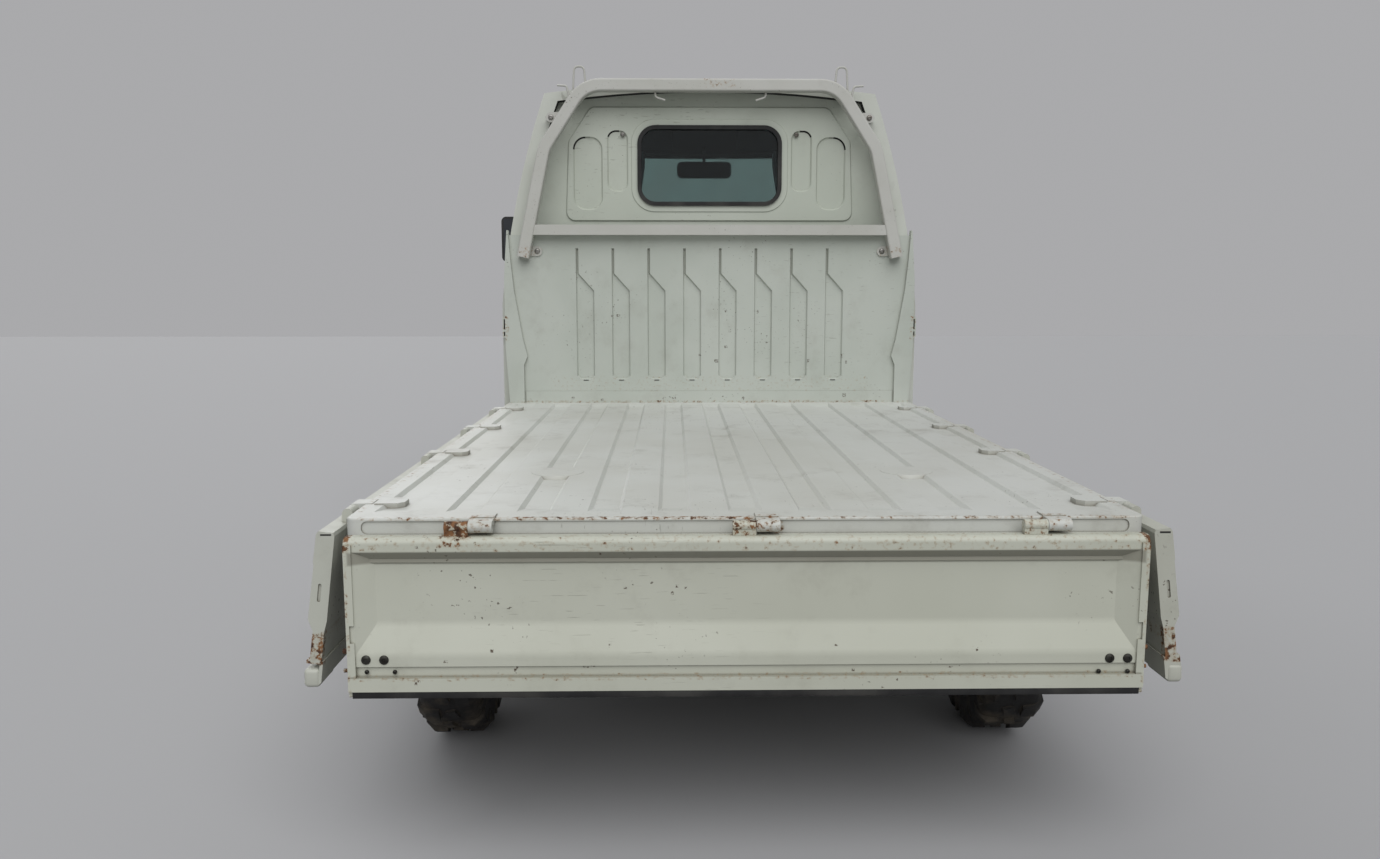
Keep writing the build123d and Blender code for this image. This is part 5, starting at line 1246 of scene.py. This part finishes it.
# %% Headlamps
LAMP_BACK = 1.465
housing = bar("lamp_housing", (0.4245, LAMP_BACK, 0.6075), (0.6505, 1.615, 0.7345), 0.0001, 1)
chop(housing, (0.43, 1.601, 0.67), (0.212, 1, 0.044))
chop(housing, (0.424, 1.5, 0.729), (-0.083, 0, 1))
soften(housing, 0.004, 2, 30)
hollowed(housing, (0.207, 0.977, 0.043), 0.005, 0.075, (0, -1, 0))
bowl = facing(
    "lamp_bowl",
    [(-34, 12), (-30, 22), (-18, 36), (0, 46), (0, 50), (-20, 39.5), (-34, 25), (-48, 18), (-60, 12)],
    (0.495, 1.56, 0.672),
)
turn_bowl = facing(
    "turn_bowl",
    [(-22, 10), (-18, 18), (-10, 24), (0, 28), (0, 31.5), (-12, 27), (-26, 14), (-60, 12), (-60, 6)],
    (0.6, 1.546, 0.672),
)
bulb = facing(
    "headlamp_bulb_right",
    [(-40, 10), (-26, 10), (-24, 6.4), (-6, 6.8), (0, 5.2), (3, 2)],
    (0.495, 1.556, 0.672),
)
cover = facing(
    "turn_lamp_right",
    [(-4.5, 30), (0, 29.6), (4, 24), (6.5, 14), (7.2, 4)],
    (0.6, 1.549, 0.672),
)
bright = joined("headlamp_reflectors_right", [housing, bowl, turn_bowl])
for piece, finish in ((bright, "lamp_reflector"), (bulb, "lamp_clear"), (cover, "amber_plastic")):
    twin = copied(piece, other_side, piece.name.replace("right", "left"))
    fitted(piece, finish, slot="none")
    fitted(twin, finish, slot="none")

# %% [markdown]
# The wipers lie along the foot of the windscreen. The glass is curved, so the blade's points are
# found by looking for the glass from in front, and the arm runs from its spindle on the panel
# below to the middle of the blade.


# %% Wipers
PANEL_FRONT, PANEL_BOW = 1.4905, 0.21


def on_glass(x, z, away):
    """A point at a distance outside the windscreen, found by a ray from the front."""
    found, place, normal, face = nodes["windscreen"].ray_cast(Vector((x, 2.5, z)), Vector((0, -1, 0)))
    return place + normal * away if found else None


def blade_line(start_x, end_x, z, away):
    """Seven points along a blade, at a distance outside the glass."""
    shares = [step / 6 for step in range(7)]
    return [on_glass(start_x + (end_x - start_x) * s, z + 0.01 * s, away) for s in shares]


pieces, rubbers = [], []
for start_x, end_x, spindle_x in ((0.52, 0.075, 0.19), (-0.03, -0.43, -0.33)):
    pieces.append(rod("blade_frame", blade_line(start_x, end_x, 1.078, 0.01), 0.0034))
    rubbers.append(rod("blade_rubber", blade_line(start_x, end_x, 1.0765, 0.0045), 0.0032))
    middle = on_glass((start_x + end_x) / 2, 1.083, 0.015)
    foot = Vector((spindle_x, PANEL_FRONT - PANEL_BOW * spindle_x**2, 1.022))
    arm_start = foot + Vector((0, 0.008, 0.014))
    arm_middle = foot.lerp(middle, 0.5) + Vector((0, 0.01, 0.014))
    pieces.append(rod("arm", [arm_start, arm_middle, middle], 0.0042))
    spindle = turned("spindle", [(-12, 10.5), (6, 10.5), (10, 12.5), (18, 12), (21.5, 8.5)], 24, 30)
    turn = Matrix.Rotation(math.radians(53), 4, "X") @ Matrix.Rotation(math.pi / 2, 4, "Z")
    spindle.data.transform(Matrix.Translation(foot) @ turn)
    pieces.append(spindle)
fitted(joined("wiper_arms", pieces), "mirror_black")
fitted(joined("wiper_rubbers", rubbers), "black_rubber")

# %% [markdown]
# A rubber gasket runs round the windscreen, and covers the joint between glass and body. It is
# one closed rod through points on the glass, found with the same rays as for the wipers.

# %% Windscreen gasket
SCREEN_LOW, SCREEN_HIGH = 1.058, 1.612
GLASS_FOOT, FOOT_HALF_WIDTH, TAPER = 1.052, 0.639, 0.1943
CORNER = 0.042


def half_width(z):
    """Half the glass's width at a height, a little inside its edge."""
    return FOOT_HALF_WIDTH - TAPER * (z - GLASS_FOOT)


def edge_point(z, inward=0.0):
    """A point of the glass's right edge, or a little inward of it."""
    return half_width(z) - inward, z


right_half = [(0.15, SCREEN_LOW), (0.35, SCREEN_LOW), edge_point(SCREEN_LOW, CORNER)]
right_half += [edge_point(1.07, 0.011)]
right_half += [edge_point(z) for z in (1.1, 1.12, 1.22, 1.33, 1.44, 1.54, 1.57)]
right_half += [edge_point(1.6, 0.011), edge_point(SCREEN_HIGH, CORNER)]
right_half += [(0.3, SCREEN_HIGH), (0.12, SCREEN_HIGH)]
outline = right_half + [(-x, z) for x, z in reversed(right_half)]
line = [on_glass(x, z, 0.0005) for x, z in outline]
gasket = rod("windscreen_gasket", [place for place in line if place], 0.0085, 3, True)
fitted(gasket, "black_rubber")
print("gasket points", len(line), "missed", line.count(None))

# %% [markdown]
# Behind the bumper's openings the real truck has a black air guide with slats, and a small round
# fog lamp on each side. The nose is bowed, so the flat slats are cut in rings and bent with it.


# %% Bumper slats and fog lamps
NOSE_BOW = 0.2135


def bowed(piece):
    """Bends a straight piece back towards its ends, as the nose is."""
    for x in (-0.24, -0.16, -0.08, 0.0, 0.08, 0.16, 0.24):
        ring_cut(piece, (x, 0, 0), (1, 0, 0))
    for point in piece.data.vertices:
        point.co.y -= NOSE_BOW * point.co.x**2
    return piece


pieces = [bowed(bar("air_guide", (-0.282, 1.6805, 0.366), (0.282, 1.6835, 0.428), 0.0005, 1))]
for row in range(3):
    z = 0.3785 + row * 0.015
    pieces.append(bowed(bar("slat", (-0.27, 1.683, z), (0.27, 1.692, z + 0.004), 0.001, 1)))
fog_rings, fog_lenses, fog_bowls = [], [], []
for name, side in SIDES:
    place = (side * 0.51, 1.639, 0.397)
    swing = Matrix.Translation(place) @ Matrix.Rotation(-side * 0.215, 4, "Z")
    rings = [(-10, 25), (-10, 33.5), (0, 33.5), (1.5, 32), (0, 28.5), (-4, 27.5)]
    ring = facing("ring", rings, (0, 0, 0))
    bowl = facing("bowl", [(-12, 5), (-10.5, 15), (-6, 24), (-6, 27), (-14, 25), (-15, 6)], (0, 0, 0))
    lens = facing("lens", [(-5, 27.8), (-3, 27.8), (0.5, 20), (1.8, 8)], (0, 0, 0))
    for piece, group in ((ring, fog_rings), (bowl, fog_bowls), (lens, fog_lenses)):
        piece.data.transform(swing)
        group.append(piece)
fitted(joined("bumper_slats", pieces + fog_rings), "grille_plastic")
fitted(joined("fog_lamp_bowls", fog_bowls), "lamp_reflector")
fitted(joined("fog_lamp_lenses", fog_lenses), "lamp_clear")

# %% [markdown]
# Number plates are thin pressed sheets with a raised rim. Here they stay blank: the block's
# front face is inset and pushed in a little, which leaves the rim.

# %% Blank plates, front and rear
PLATE_HALF, PLATE_HEIGHT, PLATE_THICK = 0.165, 0.165, 0.0022
for name, y, way, low_z in (("front", 1.7005, 1, 0.34), ("rear", -1.6435, -1, 0.398)):
    low_y, high_y = sorted((y, y + way * PLATE_THICK))
    low, high = (-PLATE_HALF, low_y, low_z), (PLATE_HALF, high_y, low_z + PLATE_HEIGHT)
    plate = rounded_plate(f"blank_plate_{name}", low, high, 0.012, 5)
    hollowed(plate, (0, way, 0), 0.004, 0.0009)
    screws = [screw(x, y + way * 0.002, low_z + 0.146, 5.5, way, 3) for x in (-0.105, 0.105)]
    fitted(plate, "plate_white")
    fitted(joined(f"plate_screws_{name}", screws), "bare_bolt", slot="rim_silver")
bracket = bar("plate_bracket", (-0.15, 1.6935, 0.356), (0.15, 1.7003, 0.46), 0.0015)
fitted(bracket, "chassis_black")

# %% [markdown]
# Small lamps sit on the sides behind the headlamps, amber lenses with moulded ribs in a black
# base. The rear lamps get their frames, dividing bars and the clear and amber parts of the lens.

# %% Side lamps and rear lamp parts
bases, lenses = [], []
for name, side in SIDES:
    bases.append(sided("base", side, (0.7365, 1.402, 0.788), (0.742, 1.468, 0.822), 0.002))
    lenses.append(sided("lens", side, (0.7405, 1.405, 0.791), (0.7475, 1.465, 0.819), 0.003, 3))
    for row in range(6):
        y = 1.412 + row * 0.009
        lenses.append(sided("rib", side, (0.7465, y, 0.7945), (0.7482, y + 0.0022, 0.8155), 0.0007, 1))
fitted(joined("side_lamp_bases", bases), "mirror_black")
fitted(joined("side_lamp_lenses", lenses), "amber_plastic")
LAMP_INNER, LAMP_OUTER = 0.47, 0.66
LAMP_WIDTH = LAMP_OUTER - LAMP_INNER
FRAME_LOW, FRAME_BACK, FRAME_FRONT = 0.459, -1.649, -1.618
frames, ambers, clears = [], [], []
for name, side in SIDES:
    low_x, high_x = sorted((side * LAMP_INNER, side * LAMP_OUTER))
    for z in (FRAME_LOW, 0.5505):
        low, high = (low_x - 0.003, FRAME_BACK, z), (high_x + 0.003, FRAME_FRONT, z + 0.0045)
        frames.append(bar("edge", low, high, 0.0015))
    for x in (low_x - 0.003, high_x - 0.0015):
        low, high = (x, FRAME_BACK, FRAME_LOW), (x + 0.0045, FRAME_FRONT, 0.555)
        frames.append(bar("end", low, high, 0.0015))
    for share in (0.42, 0.74):
        x = side * (LAMP_INNER + LAMP_WIDTH * share)
        low, high = (x - 0.0015, -1.6482, 0.463), (x + 0.0015, -1.645, 0.551)
        frames.append(bar("divider", low, high, 0.0006, 1))
    for share_low, share_high, group in ((0.43, 0.73, clears), (0.75, 0.985, ambers)):
        low = (LAMP_INNER + LAMP_WIDTH * share_low, -1.6478, 0.4645)
        high = (LAMP_INNER + LAMP_WIDTH * share_high, -1.6455, 0.5495)
        group.append(sided("lens", side, low, high, 0.001, 2))
fitted(joined("rear_lamp_frames", frames), "mirror_black")
fitted(joined("rear_lamp_clear", clears), "lamp_clear")
fitted(joined("rear_lamp_amber", ambers), "amber_plastic")

# %% [markdown]
# The door's pull handle is a pocket with a flap over it. The pocket's floor is a black tray, and
# inside the cab each door has a grained panel with an arm rest, a window crank and a lever.

# %% Door trays, panels, cranks
for name, side in SIDES:
    corners = (0.7239, 0.4332, 0.9172), (0.7256, 0.5548, 0.9728)
    tray = sided(f"handle_tray_{name}", side, *corners, 0.0006, 1)
    fitted(tray, "mirror_black", f"door_{name}")
    panel = sided("panel", side, (0.684, 0.44, 0.54), (0.6915, 1.19, 0.99), 0.004, 2)
    hollowed(panel, (-side, 0, 0), 0.035, 0.003)
    rest = sided("arm_rest", side, (0.648, 0.56, 0.812), (0.686, 0.86, 0.848), 0.012, 4)
    lever = sided("lever", side, (0.678, 1.04, 0.88), (0.685, 1.12, 0.9), 0.003, 3)
    fitted(joined(f"door_panel_{name}", [panel, rest, lever]), "dash_plastic", f"door_{name}")
    hub = turned("hub", [(0, 22), (10, 21), (14, 16), (15, 4)], 32, 30)
    placed(hub, (side * 0.6845, 0.95, 0.7), 180 if side > 0 else 0)
    bends = (0.674, 0.95, 0.7), (0.668, 0.99, 0.706), (0.664, 1.04, 0.714)
    arm = rod("arm", [(side * x, y, z) for x, y, z in bends], 0.006)
    knob = rod("knob", [(side * x, 1.04, 0.714) for x in (0.666, 0.653, 0.642)], 0.011, 4)
    fitted(joined(f"window_crank_{name}", [hub, arm, knob]), "mirror_black", f"door_{name}")

# %% [markdown]
# Two padded visors fold up under the front edge of the roof, which is the dark band that shows
# through the rear window. Each is a flat board with well rounded edges.

# %% Sun visors
for name, side in SIDES:
    board = sided(f"sun_visor_{name}", side, (0.13, -0.008, -0.056), (0.48, 0.008, 0.056), 0.0075, 4)
    placed(board, (0, 0.965, 1.668), 45, "X")
    fitted(board, "visor_vinyl", slot="mirror_black")

# %% [markdown]
# Under the truck each spring is clamped to the axle by two bolts bent over it, which pass a
# plate below the axle and end in nuts.

# %% Spring bolts
AXLE_Y = -1.024
SPRING_X = 0.47
LEG_OUT = 0.03
pieces = []
for name, side in SIDES:
    x = side * SPRING_X
    for y in (AXLE_Y - 0.042, AXLE_Y + 0.042):
        half = (LEG_OUT, 0.214), (LEG_OUT, 0.318), (0.019, 0.335)
        line = [(x - out, y, z) for out, z in half] + [(x + out, y, z) for out, z in half[::-1]]
        pieces.append(rod("bolt", line, 0.005, 2))
        for leg in (x - LEG_OUT, x + LEG_OUT):
            rings = [(0, 8.5), (1.5, 9.2), (8.5, 9.2), (10, 8.5)]
            pieces.append(upright("nut", rings, (leg, y, 0.217), 6, 20))
    low, high = (x - 0.044, AXLE_Y - 0.056, 0.227), (x + 0.044, AXLE_Y + 0.056, 0.234)
    pieces.append(bar("plate", low, high, 0.0015))
fitted(joined("spring_bolts", pieces), "spring_steel")

# %% [markdown]
# A plain pale floor carries the truck's shadow, and a pale world lights it softly from all
# round. One broad lamp above the camera shapes the bed, and a weaker one lights the front.

# %% Floor, world and lamps
def seen_ray(tree):
    """1 on rays that show the background: straight, in a mirror or through glass."""
    ray = tree.nodes.new("ShaderNodeLightPath")
    straight = calc(tree, "MAXIMUM", ray.outputs["Is Camera Ray"], ray.outputs["Is Glossy Ray"])
    return calc(tree, "MAXIMUM", straight, ray.outputs["Is Transmission Ray"])


bpy.ops.mesh.primitive_plane_add(size=40.0, location=(0.0, 0.0, 0.0))
floor = bpy.context.object
floor.name = "floor"
tree, shader = start("pale_floor", 0.85)
colour = mixed(tree, seen_ray(tree), (0.26, 0.26, 0.26, 1.0), (0.44, 0.44, 0.45, 1.0))
feed(tree, shader.inputs["Base Color"], colour)
floor.data.materials.append(finishes["pale_floor"])

world = bpy.data.worlds.new("studio")
bpy.context.scene.world = world
world.use_nodes = True
tree = world.node_tree
lit = tree.nodes["Background"]
lit.inputs["Color"].default_value = (0.96, 0.98, 1.0, 1.0)
lit.inputs["Strength"].default_value = 0.27
seen = tree.nodes.new("ShaderNodeBackground")
seen.inputs["Color"].default_value = (0.4, 0.4, 0.41, 1.0)
either = tree.nodes.new("ShaderNodeMixShader")
feed(tree, either.inputs[0], seen_ray(tree))
feed(tree, either.inputs[1], lit.outputs[0])
feed(tree, either.inputs[2], seen.outputs[0])
feed(tree, tree.nodes["World Output"].inputs["Surface"], either.outputs[0])


TRUCK_MIDDLE = Vector((0.0, -0.4, 0.7))


def soft_sun(name, place, strength, spread):
    """A wide soft light from far away, aimed at the truck's middle."""
    bpy.ops.object.light_add(type="SUN", location=place)
    lamp = bpy.context.object
    lamp.name = name
    lamp.data.energy = strength
    lamp.data.angle = math.radians(spread)
    aim = TRUCK_MIDDLE - Vector(place)
    lamp.rotation_euler = aim.to_track_quat("-Z", "Y").to_euler()


soft_sun("lamp_key", (0.4, -4.4, 5.2), 2.0, 62)
soft_sun("lamp_front", (-2.6, 6.0, 4.2), 0.75, 50)
